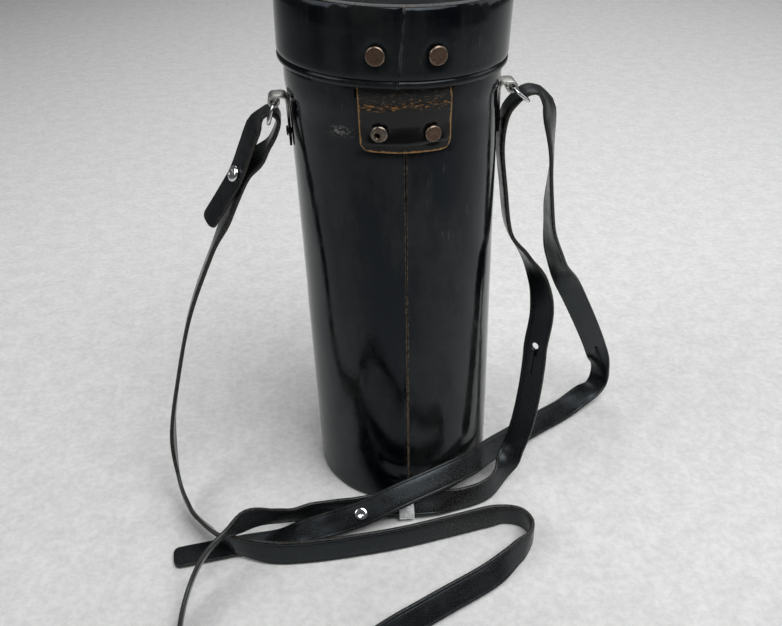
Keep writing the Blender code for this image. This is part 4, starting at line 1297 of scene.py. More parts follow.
@dataclass
class LeatherTab:
    """One piece of leather that crosses a bend line between two bodies."""

    name: str
    finish: Finish
    facing: float
    half_width: float
    taper: float
    corner: float
    thickness: float
    rows: Outline
    crease: float
    crack_line: float
    crack_spread: float
    lower: Body
    upper: Body
    nodes: tuple[str, ...]
    rivets: tuple[Spot, ...] = ()
    fold: float = 0.0
    skew: float = 0.0
    flex: float = 2.2 * MM
    rivet_press: float = 0.4 * MM
    rivet_spread: float = 1.3 * MM
    fold_drop: float = 0.5 * MM
    flare: float = 0.9 * MM
    flare_width: float = 11.0 * MM
    columns: int = 72
    lines: int = 110

    def build(self) -> None:
        """Shape the leather from a flat grid, thicken it and let it stand for its CAD nodes."""
        bm = bmesh.new()
        bmesh.ops.create_grid(bm, x_segments=self.columns, y_segments=self.lines, size=0.5)
        layers = {name: bm.verts.layers.float.new(name) for name in ("crease", "rough_zone", "edge_distance")}
        for vert in bm.verts:
            self.place(vert, layers)
        bmesh.ops.recalc_face_normals(bm, faces=bm.faces)
        piece = Workshop.piece(self.name, bm, self.finish, 60.0)
        Workshop.thicken(piece, self.thickness, rounding=0.35 * MM, rows=2, sharp=60.0, even=True)
        start = Workshop.around(self.facing, self.rows[0][0], self.crease - self.flex)
        end = Workshop.around(self.facing, self.rows[0][0], self.crease + self.flex)
        Workshop.flex(piece, (self.lower, self.upper), (start, end), *self.nodes)

    def along(self, share: float) -> tuple[float, float]:
        """Radius and height at a share of the way up the leather.

        Args:
            share: 0 at the bottom, 1 at the top.

        Returns:
            Radius and height.
        """
        spans = [math.dist(a, b) for a, b in zip(self.rows, self.rows[1:])]
        left = share * sum(spans)
        for (r0, z0), (r1, z1), span in zip(self.rows, self.rows[1:], spans):
            if left <= span + 1e-9:
                part = left / span
                return r0 + (r1 - r0) * part, z0 + (z1 - z0) * part
            left -= span
        return self.rows[-1]

    def place(self, vert: bmesh.types.BMVert, layers: dict[str, bmesh.types.BMLayerItem]) -> None:
        """Move one grid point to its place and store its edge and crease values.

        Args:
            vert: Grid point.
            layers: Value layers by name.
        """
        share = vert.co.y + 0.5
        radius, height = self.along(share)
        bottom = self.rows[0][1]
        above = height - bottom
        half = self.half_width - self.taper * (1.0 - share)
        if above < self.corner:
            half -= self.corner - math.sqrt(max(0.0, self.corner**2 - (self.corner - above) ** 2))
        across = math.copysign(1.0 - (1.0 - abs(2.0 * vert.co.x)) ** 1.35, vert.co.x) * half
        edge = min(half - abs(across), above)
        height -= self.skew * across * max(0.0, 1.0 - above / (self.crack_line - bottom))
        bend = bell(height - self.crack_line, self.crack_spread)
        vert[layers["edge_distance"]] = edge / MM
        vert[layers["crease"]] = bend
        vert[layers["rough_zone"]] = 1.0 / (1.0 + math.exp(-(height - self.crack_line) / (0.45 * MM)))
        ripple = noise.noise(Vector((across * 300.0, height * 1400.0, 0.5)))
        sag = noise.noise(Vector((across * 60.0, height * 60.0, 4.5)))
        radius += (0.25 * ripple * bend + 0.1 * sag) * MM - self.press(across, height)
        vert.co = Workshop.around(self.facing + across / radius, radius, height)

    def press(self, across: float, height: float) -> float:
        """How far the rivets and the low fold press the leather in at a place.

        Args:
            across: Distance from the middle line.
            height: Height of the place.

        Returns:
            The depth.
        """
        depth = 0.0
        for side, level, reach in self.rivets:
            away = max(0.0, math.hypot(across - side, height - level) - reach)
            depth = max(depth, self.rivet_press * bell(away, self.rivet_spread))
        below = clamp((self.fold - height) / (0.7 * MM) + 0.5)
        flared = clamp((self.fold + 8.5 * MM - height) / (8.0 * MM)) ** 1.6 if self.fold else 0.0
        return depth + self.fold_drop * below - self.flare * flared * bell(across, self.flare_width)


@dataclass
class WallRivet:
    """A domed rivet through a wall."""

    name: str
    finish: Finish
    body: Body
    angle: float
    height: float
    seat: float
    inner: float
    diameter: float
    dome: float = 1.3 * MM
    split_cap: bool = False
    lean: Matrix = field(default_factory=lambda: Matrix.Identity(4))

    def build(self) -> None:
        """Turn the rivet, split its cap if it is the damaged one, and set it in the wall."""
        half = self.diameter / 2.0
        grip = self.seat - self.inner
        low = self.dome * 0.22
        profile = [(0.0, self.dome * 0.95), (half * 0.25, self.dome * 0.96), (half * 0.55, self.dome * 0.98)]
        profile += Workshop.arc((half * 0.74, low), (half * 0.26, self.dome - low), 90.0, 0.0, 8)
        profile += [(half - 0.1 * MM, 0.0), (1.5 * MM, 0.0), (1.5 * MM, -grip), (2.6 * MM, -grip)]
        profile += [(2.6 * MM, -grip - 0.5 * MM), (2.3 * MM, -grip - 0.7 * MM), (0.0, -grip - 0.7 * MM)]
        bm = Workshop.turned(profile, 48)
        rim = bm.verts.layers.float.new("rim")
        hole_shade_depth = bm.verts.layers.float.new("hole_shade_depth")
        if self.split_cap:
            top = [edge for edge in bm.edges if min(vert.co.z for vert in edge.verts) > low]
            bmesh.ops.subdivide_edges(bm, edges=top, cuts=1, use_grid_fill=True)
        for vert in bm.verts:
            out = math.hypot(vert.co.x, vert.co.y)
            if vert.co.z > 0.0:
                vert[rim] = clamp((out / half - 0.84) / 0.12) * 0.5
            # The broken cap's pressed-in part stores the depth that sets its painted shade.
            if self.split_cap and vert.co.z > low:
                self.dent(vert, hole_shade_depth)
        matrix = self.lean @ Workshop.outward(self.angle, self.seat, self.height)
        bmesh.ops.transform(bm, matrix=matrix, verts=bm.verts)
        Workshop.settle(Workshop.piece(self.name + "_head", bm, self.finish, 50.0), self.body, self.name)

    def dent(self, vert: bmesh.types.BMVert, layer: bmesh.types.BMLayerItem) -> None:
        """Press the broken part of the cap in and store the painted shade of its hole.

        Args:
            vert: Point of the cap.
            layer: Layer that stores how deep it lies, which sets the hole's painted shade.
        """
        spot = Vector((vert.co.x + 0.7 * MM, vert.co.y + 0.5 * MM, 0.0))
        reach = (1.3 + 0.7 * noise.noise(Vector((vert.co.x * 450.0, vert.co.y * 450.0, 2.0)))) * MM
        depth = clamp((reach - spot.length) / (0.35 * MM))
        vert[layer] = depth
        vert.co.z -= depth * MM


@dataclass
class StrapLug:
    """Rolled sheet lug, its rivet and the wire ring that hangs in it."""

    side_name: str
    side: float
    lean: float
    body: Body
    ring_body: Body
    case_radius: float = CASE_RADIUS
    knuckle_height: float = 226.6 * MM
    standoff: float = 7.2 * MM
    dark_leg_top: float = 224.0 * MM
    sheet: float = 1.2 * MM
    bore: float = 3.4 * MM
    length: float = 10.0 * MM
    wire: float = 1.8 * MM
    ring_width: float = 17.2 * MM
    ring_length: float = 10.0 * MM
    corner: float = 3.0 * MM
    leg_heights: tuple[float, ...] = (204.5 * MM, 210.5 * MM, 218.0 * MM)

    def build(self) -> None:
        """Make the lug, its rivet and its ring."""
        self.build_sheet()
        WallRivet(
            name=f"lug_rivet_{self.side_name}", finish=DARK_NICKEL, body=self.body,
            angle=self.side * math.pi / 2.0, height=self.leg_heights[1],
            seat=self.case_radius + 2.0 * WALL_GAP + self.sheet,
            inner=self.case_radius - 2.5 * MM, diameter=5.0 * MM, dome=0.9 * MM,
        ).build()
        self.build_ring()

    def build_sheet(self) -> None:
        """Roll the lug from a strip of sheet, dark on its leg."""
        plate = self.case_radius + WALL_GAP + self.sheet / 2.0
        roll = self.bore / 2.0 + self.sheet / 2.0
        centre = (self.case_radius + self.standoff, self.knuckle_height)
        line = [(plate, level) for level in (*self.leg_heights, self.knuckle_height - 1.6 * MM)]
        for out, share in ((0.35 * MM, 0.35), (1.1 * MM, 0.78), (2.6 * MM, 1.0)):
            line.append((plate + out, self.knuckle_height + roll * share))
        line += Workshop.arc(centre, (roll, roll), 90.0, -188.0, 26)
        bm = bmesh.new()
        half = self.length / 2.0
        black = bm.verts.layers.float.new("dark_leg")
        first = [bm.verts.new((self.side * line[0][0], y, line[0][1])) for y in (-half, half)]
        edge = bm.edges.new(first)
        for radius, height in line[1:]:
            made = bmesh.ops.extrude_edge_only(bm, edges=[edge])["geom"]
            edge = next(item for item in made if isinstance(item, bmesh.types.BMEdge))
            for vert in edge.verts:
                vert.co = (self.side * radius, vert.co.y, height)
        for vert in bm.verts:
            # The leg is darker below a height.
            vert[black] = clamp((self.dark_leg_top - vert.co.z) / (2.0 * MM))
        bmesh.ops.recalc_face_normals(bm, faces=bm.faces)
        lug = Workshop.piece(f"lug_{self.side_name}_sheet", bm, NICKEL, 50.0)
        Workshop.thicken(lug, self.sheet, rounding=0.28 * MM, rows=3, sharp=50.0)
        Workshop.settle(lug, self.body, f"lug_{self.side_name}")

    def build_ring(self) -> None:
        """Bend the wire ring and hang it in the knuckle."""
        tilt = math.radians(self.lean)
        hang = Vector((self.side * math.sin(tilt), 0.0, -math.cos(tilt)))
        play = self.bore / 2.0 - self.wire / 2.0 - WALL_GAP
        out = self.side * (self.case_radius + self.standoff)
        pivot = Vector((out, 0.0, self.knuckle_height)) + hang * play
        half = self.ring_width / 2.0 - self.corner
        far = self.ring_length - self.corner
        outline = Workshop.rounded(half, self.corner, far, self.corner, 8)
        curve = bpy.data.curves.new("ring_line", "CURVE")
        curve.dimensions = "3D"
        curve.bevel_depth = self.wire / 2.0
        curve.bevel_resolution = 6
        spline = curve.splines.new("POLY")
        spline.points.add(len(outline) - 1)
        spline.use_cyclic_u = True
        for point, (across, along) in zip(spline.points, outline):
            point.co = (*(pivot + Vector((0.0, across, 0.0)) + hang * along), 1.0)
        holder = Workshop.link("ring_line", curve)
        view = bpy.context.evaluated_depsgraph_get()
        mesh = bpy.data.meshes.new_from_object(holder.evaluated_get(view))
        bpy.data.objects.remove(holder, do_unlink=True)
        mesh.shade_smooth()
        ring = Workshop.link(f"ring_{self.side_name}_wire", mesh)
        CHROME.dress(ring)
        Workshop.settle(ring, self.ring_body, f"ring_{self.side_name}")


@dataclass
class PressStud:
    """Press stud of the closing tab, on the unseen front."""

    height: float = 222.4 * MM
    flap_inner: float = LID_RADIUS + WALL_GAP
    flap_outer: float = LID_RADIUS + 2.3 * MM
    case_radius: float = CASE_RADIUS

    def build(self) -> None:
        """Turn the cap and socket on the flap, and the stud and post on the case."""
        half, dome, edge = 6.0 * MM, 2.0 * MM, 0.4 * MM
        stem, grip = 1.5 * MM, 2.3 * MM
        cap = [(0.0, dome)] + Workshop.arc((half * 0.3, edge), (half * 0.7, dome - edge), 90.0, 0.0, 8)
        cap += [(half - WALL_GAP, 0.0), (stem, 0.0), (stem, -grip), (0.0, -grip)]
        self.turn("snap_cap", cap, self.flap_outer + WALL_GAP, Body.FLAP)
        socket = [(0.0, -0.5), (2.4, -0.5), (2.6, -0.9), (4.4, -0.9), (4.8, -0.6), (4.8, 0.0), (0.0, 0.0)]
        self.turn("snap_socket", self.metres(socket), self.flap_inner - WALL_GAP, Body.FLAP)
        tip = self.flap_inner - 1.5 * MM - self.case_radius - WALL_GAP
        stud = [(0.0, tip), (1.7 * MM, tip), (2.3 * MM, tip - 0.25 * MM), (2.5 * MM, tip - 0.6 * MM)]
        foot = [(2.0, 0.9), (2.4, 0.7), (4.5, 0.6), (4.8, 0.3), (4.8, 0.0), (0.0, 0.0)]
        self.turn("snap_stud", stud + self.metres(foot), self.case_radius + WALL_GAP, Body.CASE)
        post = [(0.0, 0.0), (1.5, 0.0), (1.5, -2.5), (3.8, -2.5), (3.8, -3.0), (3.4, -3.2), (0.0, -3.2)]
        self.turn("snap_post", self.metres(post), self.case_radius, Body.CASE)

    @staticmethod
    def metres(profile: Outline) -> Outline:
        """An outline given in millimetres, in metres."""
        return [(radius * MM, height * MM) for radius, height in profile]

    def turn(self, node: str, profile: Outline, radius: float, body: Body) -> None:
        """Turn one part and set it at the front, with its outline's zero height at the radius."""
        bm = Workshop.turned(profile, 48, Workshop.outward(math.pi, radius, self.height))
        Workshop.settle(Workshop.piece(node + "_metal", bm, NICKEL, 50.0), body, node)


STRAP_ROUTE: tuple[Knot, ...] = (
    (-98.2, 0.0, 163.8, Across.TURNED_LEFT),
    (-89.0, 0.4, 176.3, Across.TURNED_LEFT),
    (-80.3, 0.5, 189.1, Across.TURNED_LEFT),
    (-74.3, 0.5, 201.7, Across.TURNED_LEFT),
    (-69.0, 0.3, 213.0, Across.TURNED_LEFT),
    (-63.8, 0.0, 220.0, Across.NEAR),
    (-59.2, 0.0, 221.2, Across.NEAR),
    (-56.3, 0.0, 217.8, Across.NEAR),
    (-57.6, 0.0, 212.4, Across.NEAR),
    (-61.9, 0.2, 204.9, Across.NEAR),
    (-69.4, 0.6, 196.9, Across.TURNED_LEFT),
    (-78.0, 1.8, 187.8, Across.TURNED_LEFT),
    (-87.6, 0.0, 167.2, Across.TURNING_LEFT),
    (-98.0, -3.0, 149.0, Across.NEAR),
    (-114.0, -6.0, 115.0, Across.NEAR),
    (-126.0, -9.0, 78.0, Across.NEAR),
    (-135.0, -16.0, 42.0, Across.NEAR),
    (-134.0, -32.0, 17.0, Across.ROLLING_UP),
    (-127.0, -49.0, 9.5, Across.ROLLING_UP),
    (-118.0, -62.0, 9.6, Across.LEANING_LEFT),
    (-109.0, -73.0, 10.4, Across.LEANING_LEFT),
    (-99.0, -80.0, 10.0, Across.UPRIGHT),
    (-80.0, -85.5, 7.4, Across.NEAR_UPRIGHT),
    (-64.0, -87.0, 7.3, Across.NEAR_UPRIGHT),
    (-43.0, -86.6, 7.3, Across.NEAR_UPRIGHT),
    (-12.0, -84.1, 7.3, Across.NEAR_UPRIGHT),
    (20.0, -78.8, 7.3, Across.NEAR_UPRIGHT),
    (38.0, -75.6, 7.4, Across.NEAR_UPRIGHT),
    (49.0, -74.8, 7.4, Across.UPRIGHT),
    (57.5, -78.5, 7.5, Across.UPRIGHT),
    (61.0, -86.5, 7.5, Across.UPRIGHT),
    (58.0, -94.5, 7.5, Across.UPRIGHT),
    (49.0, -102.5, 7.4, Across.STEEP),
    (33.0, -114.0, 6.4, Across.LEANING),
    (7.0, -127.0, 6.4, Across.LEANING),
    (-15.0, -138.0, 6.6, Across.LEANING),
    (-45.0, -153.0, 7.5, Across.STEEP),
    (-78.0, -161.0, 7.6, Across.UPRIGHT),
    (-106.0, -158.0, 7.6, Across.UPRIGHT),
    (-122.0, -144.0, 7.6, Across.UPRIGHT),
    (-125.0, -126.0, 7.6, Across.ROLLING_UP),
    (-122.0, -109.0, 12.5, Across.ROLLING_UP),
    (-115.0, -97.0, 20.5, Across.ROLLING_UP),
    (-105.0, -87.0, 25.2, Across.ROLLING_UP),
    (-94.0, -76.0, 23.5, Across.UPRIGHT),
    (-82.0, -67.0, 15.4, Across.ROLLED_BACK),
    (-71.0, -62.0, 9.6, Across.ROLLED_BACK),
    (-56.0, -59.0, 7.8, Across.UPRIGHT),
    (-36.0, -59.4, 7.6, Across.NEAR_UPRIGHT),
    (-17.0, -59.6, 7.6, Across.LEANING),
    (-5.0, -60.2, 7.6, Across.LEANING),
    (7.0, -60.8, 7.6, Across.LEANING),
    (26.0, -60.0, 7.4, Across.NEAR_UPRIGHT),
    (42.0, -55.0, 7.4, Across.NEAR_UPRIGHT),
    (51.5, -47.0, 9.6, Across.NEAR_UPRIGHT),
    (60.0, -39.0, 20.0, Across.LEANING),
    (66.5, -34.0, 36.0, Across.FACING_INNER),
    (71.0, -29.0, 56.0, Across.FACING_INNER),
    (73.5, -25.0, 74.0, Across.FACING_INNER),
    (74.3, -22.9, 83.6, Across.FACING_INNER),
    (77.5, -19.0, 104.0, Across.FACING_INNER),
    (75.5, -14.0, 121.0, Across.TWIST_INNER),
    (68.0, -9.0, 136.0, Across.TWIST_INNER_END),
    (59.4, -6.0, 150.0, Across.FAR),
    (55.6, -4.0, 176.0, Across.FAR),
    (53.6, -2.0, 197.0, Across.FAR),
    (55.4, -1.0, 212.0, Across.FAR),
    (59.6, -0.5, 218.6, Across.FAR),
    (65.0, -0.5, 223.0, Across.FAR),
    (70.0, -0.5, 223.6, Across.FAR),
    (74.5, -0.5, 220.0, Across.FAR_RIGHT),
    (78.5, -0.5, 211.0, Across.OPEN_RIGHT),
    (82.0, 1.0, 186.0, Across.FAR_RIGHT),
    (84.5, 5.0, 150.0, Across.TWIST_OUTER_START),
    (92.0, 10.0, 120.0, Across.TWIST_OUTER),
    (106.0, 16.0, 92.0, Across.FACING_OUTER),
    (118.0, 21.0, 67.0, Across.FACING_OUTER),
    (129.0, 27.0, 42.0, Across.FACING_OUTER),
    (136.5, 32.0, 20.0, Across.TURNING_BACK),
    (133.0, 28.0, 9.4, Across.TURNING_BACK),
    (121.0, 20.5, 7.6, Across.LYING_BACK),
    (105.0, 9.5, 6.6, Across.LEANING),
    (88.0, -0.5, 7.0, Across.LEANING),
    (66.0, -16.0, 10.0, Across.LEANING),
    (50.0, -30.0, 15.0, Across.LEANING),
    (36.0, -44.0, 19.6, Across.LEANING),
    (20.0, -53.0, 20.6, Across.LEANING),
    (5.0, -58.6, 19.4, Across.LEANING),
    (-9.0, -62.6, 17.0, Across.LEANING),
    (-20.0, -65.4, 14.0, Across.LEANING),
    (-31.0, -67.6, 11.0, Across.LEANING),
    (-43.0, -69.0, 8.6, Across.LEANING),
    (-60.0, -70.2, 5.2, Across.SHALLOW),
    (-78.0, -71.8, 2.2, Across.FAR),
    (-95.0, -72.5, 1.6, Across.FAR),
    (-112.0, -74.5, 1.6, Across.FAR),
    (-134.5, -77.4, 1.6, Across.FAR),
)


@dataclass
class ShoulderStrap:
    """The long strap, with its studs and its keeper."""

    width: float = 14.0 * MM
    thickness: float = 2.2 * MM
    step: float = 3.0 * MM
    end_round: float = 3.5 * MM
    rubbed_width: float = 1.1 * MM
    split_knot: int = 37
    left_stud: int = 2
    keeper: int = 50
    button_hole: int = 59
    outer_slit: int = 77
    tail_stud: int = 90
    left_bend: tuple[Spot, Spot] = ((-0.088, 0.0, 0.165), (-0.066, 0.0, 0.206))
    right_bend: tuple[Spot, Spot] = ((0.057, 0.0, 0.212), (0.069, 0.0, 0.221))
    route: tuple[Knot, ...] = STRAP_ROUTE

    def knot_point(self, index: int) -> Vector:
        """Place of a knot in metres."""
        return Vector(self.route[index][:3]) * MM

    def knot_across(self, index: int) -> Vector:
        """Direction across the strap at a knot."""
        return Vector(self.route[index][3].value).normalized()

    def spline(self, position: float) -> Vector:
        """Point on the smooth route.

        Args:
            position: Place along the knots, counted from 0.

        Returns:
            The point.
        """
        last = len(self.route) - 1
        index = min(int(position), last - 1)
        share = position - index
        p1 = self.knot_point(index)
        p2 = self.knot_point(index + 1)
        p0 = self.knot_point(index - 1) if index > 0 else p1 * 2.0 - p2
        p3 = self.knot_point(index + 2) if index + 2 <= last else p2 * 2.0 - p1
        square = share * share
        cube = square * share
        return (
            p1 * (2.0 * cube - 3.0 * square + 1.0)
            + (p2 - p0) * 0.5 * (cube - 2.0 * square + share)
            + p2 * (3.0 * square - 2.0 * cube)
            + (p3 - p1) * 0.5 * (cube - square)
        )

    def samples(self, first: int, last: int) -> list[tuple[Vector, Vector]]:
        """Points and width directions between two knots.

        Args:
            first: First knot.
            last: Last knot.

        Returns:
            Points with their directions across the strap.
        """
        found = []
        for index in range(first, last):
            low = self.knot_across(index)
            high = self.knot_across(index + 1)
            span = (self.knot_point(index + 1) - self.knot_point(index)).length
            at_end = index in (0, len(self.route) - 2)
            steps = max(3, round(span / (self.step * (0.2 if at_end else 1.0))))
            for step in range(steps):
                share = step / steps
                ease = share * share * (3.0 - 2.0 * share)
                found.append((self.spline(index + share), low.slerp(high, ease, low)))
        found.append((self.knot_point(last), self.knot_across(last)))
        return found

    def section(self) -> Outline:
        """Closed section: rounded edges and a pressed line inside each edge, on both faces.

        Returns:
            Points as (across, out of the face), in metres.
        """
        half, top = self.width / 2.0, self.thickness / 2.0
        edge = [(0.0, 0.8), (0.15, 0.38), (0.55, 0.1), (1.05, 0.02), (1.4, 0.08)]
        edge += [(1.7, 0.18), (2.0, 0.08), (2.4, 0.01), (4.6, 0.0)]
        side = [(half - inward * MM, top - below * MM) for inward, below in edge] + [(0.0, top)]
        face = [(-across, out) for across, out in side] + side[-2::-1]
        return face + [(across, -out) for across, out in reversed(face)]

    def run(
        self, name: str, first: int, last: int, round_first: bool = False, round_last: bool = False
    ) -> tuple[bpy.types.Object, list[Vector]]:
        """Sweep one run of the strap.

        Args:
            name: Piece name.
            first: First knot.
            last: Last knot.
            round_first: Whether its first end is the strap's own rounded end.
            round_last: Whether its last end is.

        Returns:
            The piece and the points that it follows.
        """
        found = self.samples(first, last)
        path = [point for point, _ in found]
        reach = self.reaches(path)
        section = self.section()
        bm = bmesh.new()
        rim = bm.verts.layers.float.new("rim")
        scuff = bm.verts.layers.float.new("scuff")
        rings = []
        for index, (point, across) in enumerate(found):
            along = (path[min(index + 1, len(path) - 1)] - path[max(index - 1, 0)]).normalized()
            across = (across - along * across.dot(along)).normalized()
            face = along.cross(across)
            narrow = 1.0
            if round_first:
                narrow = min(narrow, self.end_width(reach[index]))
            if round_last:
                narrow = min(narrow, self.end_width(reach[-1] - reach[index]))
            ring = []
            for side, out in section:
                vert = bm.verts.new(point + across * (side * narrow) + face * out)
                vert[rim] = max(0.0, 1.0 - (self.width / 2.0 - abs(side)) / self.rubbed_width)
                vert[scuff] = self.dust(vert.co)
                ring.append(vert)
            rings.append(ring)
        self.skin(bm, rings, reach, section)
        bmesh.ops.recalc_face_normals(bm, faces=bm.faces)
        return Workshop.piece(name, bm, STRAP, 60.0), path

    @staticmethod
    def reaches(path: list[Vector]) -> list[float]:
        """Length along a run at each of its points."""
        steps = [(after - before).length for before, after in zip(path, path[1:])]
        return list(accumulate(steps, initial=0.0))

    def end_width(self, from_end: float) -> float:
        """Share of the full width near a rounded end.

        Args:
            from_end: Distance from the end, along the strap.

        Returns:
            The share, 1 past the rounding.
        """
        if from_end >= self.end_round:
            return 1.0
        lift = self.end_round - math.sqrt(max(0.0, self.end_round**2 - (self.end_round - from_end) ** 2))
        return 1.0 - lift / (self.width / 2.0)

    @staticmethod
    def dust(spot: Vector) -> float:
        """How dusty and speckled the strap is at a place."""
        dustiest = Vector((30.0, -76.0, 7.0)) * MM
        return min(1.0, 0.22 + bell((spot - dustiest).length, 30.0 * MM))

    @staticmethod
    def skin(bm: bmesh.types.BMesh, rings: list[Ring], reach: list[float], section: Outline) -> None:
        """Skin the swept sections and map the strap lengthwise.

        Args:
            bm: Mesh that holds the rings.
            rings: Rows of section points.
            reach: Length along the strap at each row.
            section: Section that the rows repeat.
        """
        strap_map = bm.loops.layers.uv.new("strap")
        count = len(section)
        for row, (ring, follower) in enumerate(zip(rings, rings[1:])):
            for index in range(count):
                after = (index + 1) % count
                face = bm.faces.new((ring[index], ring[after], follower[after], follower[index]))
                spots = ((row, index), (row, after), (row + 1, after), (row + 1, index))
                for loop, (place, corner) in zip(face.loops, spots):
                    loop[strap_map].uv = (reach[place], section[corner][0])
        bm.faces.new(rings[0])
        bm.faces.new(rings[-1])

    def frame_at(self, knot: float) -> Matrix:
        """Matrix at a place on the strap: X along it, Y across it, Z out of its face.

        Args:
            knot: Place along the knots.

        Returns:
            The matrix.
        """
        along = (self.spline(knot + 0.02) - self.spline(knot - 0.02)).normalized()
        index = int(knot)
        low = self.knot_across(index)
        high = self.knot_across(min(index + 1, len(self.route) - 1))
        across = low.slerp(high, knot - index, low)
        across = (across - along * across.dot(along)).normalized()
        turn = Matrix((along, across, along.cross(across))).transposed().to_4x4()
        return Matrix.Translation(self.spline(knot)) @ turn

    def punch(self, strap: bpy.types.Object, knot: float, hole: float = 0.0, slit: float = 0.0) -> None:
        """Punch a round hole, with a slit running on from it, through a run.

        Args:
            strap: Run to punch.
            knot: Place along the knots.
            hole: Diameter of the hole, 0 for a slit alone.
            slit: Length of the slit, 0 for a hole alone; a negative one runs towards the strap's start.
        """
        place = self.frame_at(knot)
        reach = 4.0 * MM
        if hole:
            profile = [(0.0, reach), (hole / 2.0, reach), (hole / 2.0, -reach), (0.0, -reach)]
            bm = Workshop.turned(profile, 24, place)
            Workshop.cut(strap, Workshop.piece("hole_cutter", bm, STRAP))
        for face in (-1.0, 1.0) if slit else ():
            out = face * (reach / 2.0 + self.thickness * 0.15)
            bm = Workshop.block((abs(slit), 0.4 * MM, reach), (slit / 2.0, 0.0, out))
            bmesh.ops.transform(bm, matrix=place, verts=bm.verts)
            Workshop.cut(strap, Workshop.piece("slit_cutter", bm, STRAP))

    def build(self) -> None:
        last = len(self.route) - 1
        left, left_path = self.run("strap_left_run", 0, self.split_knot, round_first=True)
        right, right_path = self.run("strap_right_run", self.split_knot, last, round_last=True)
        self.punch(right, self.button_hole, hole=4.2 * MM, slit=-18.0 * MM)
        self.punch(right, self.outer_slit, slit=16.0 * MM)
        self.punch(right, last - 0.9, hole=2.2 * MM)
        Workshop.flex(left, (Body.CASE, Body.LEFT_RING), self.left_bend, "shoulder_strap")
        Workshop.flex(right, (Body.CASE, Body.RIGHT_RING), self.right_bend, "shoulder_strap")
        studs = self.build_studs()
        keeper = self.build_keeper()

    def build_studs(self) -> list[bpy.types.Object]:
        """Turn the two strap studs and their backs.

        Returns:
            The pieces, left pair first.
        """
        made = []
        half, dome, edge, crown = 4.3 * MM, 1.9 * MM, 0.4 * MM, 0.12 * MM
        stem = 1.6 * MM
        for node, knot, layers, flip in (
            ("left_stud", self.left_stud, 2, True), ("tail_stud", self.tail_stud, 1, False)
        ):
            matrix = self.frame_at(knot)
            if flip:
                matrix = matrix @ Matrix.Rotation(math.pi, 4, "X")
            grip = layers * (self.thickness + WALL_GAP) + (layers - 1) * 0.9 * MM
            matrix = matrix @ Matrix.Translation((0.0, 0.0, self.thickness / 2.0 + WALL_GAP))
            head = [(0.0, dome - crown), (half * 0.42, dome - crown), (half * 0.46, dome)]
            head += Workshop.arc((half * 0.5, edge), (half * 0.5, dome - edge), 90.0, 0.0, 9)
            head += [(half - 0.25 * MM, 0.0), (stem, 0.0), (stem, -grip), (0.0, -grip)]
            back = [(0.0, 0.3), (3.5, 0.3), (3.5, 1.0), (3.1, 1.3), (1.2, 1.3), (0.9, 1.0), (0.0, 1.0)]
            back = [(radius * MM, -grip - below * MM) for radius, below in back]
            for label, outline in ((node, head), (node + "_back", back)):
                piece = Workshop.piece(label + "_metal", Workshop.turned(outline, 48, matrix), CHROME, 50.0)
                if flip:
                    Workshop.flex(piece, (Body.CASE, Body.LEFT_RING), self.left_bend, label)
                else:
                    Workshop.settle(piece, Body.CASE, label)
                made.append(piece)
        return made

    def build_keeper(self) -> bpy.types.Object:
        """Fold the keeper round the strap.

        Returns:
            The keeper piece.
        """
        corner = 0.9 * MM
        half = self.width / 2.0 + corner
        depth = self.thickness / 2.0 + corner
        length = 8.5 * MM
        outline = Workshop.rounded(half - corner, corner - depth, depth - corner, corner, 5)
        bm = bmesh.new()
        verts = [bm.verts.new((-length / 2.0, *spot)) for spot in outline]
        edges = [bm.edges.new(pair) for pair in zip(verts, verts[1:] + verts[:1])]
        made = bmesh.ops.extrude_edge_only(bm, edges=edges)["geom"]
        moved = [item for item in made if isinstance(item, bmesh.types.BMVert)]
        bmesh.ops.translate(bm, vec=(length, 0.0, 0.0), verts=moved)
        bmesh.ops.recalc_face_normals(bm, faces=bm.faces)
        bmesh.ops.transform(bm, matrix=self.frame_at(self.keeper), verts=bm.verts)
        keeper = Workshop.piece("keeper_sheet", bm, SATIN, 50.0)
        Workshop.thicken(keeper, 0.8 * MM, rounding=0.22 * MM, rows=3, sharp=50.0)
        return Workshop.settle(keeper, Body.KEEPER, "strap_keeper")


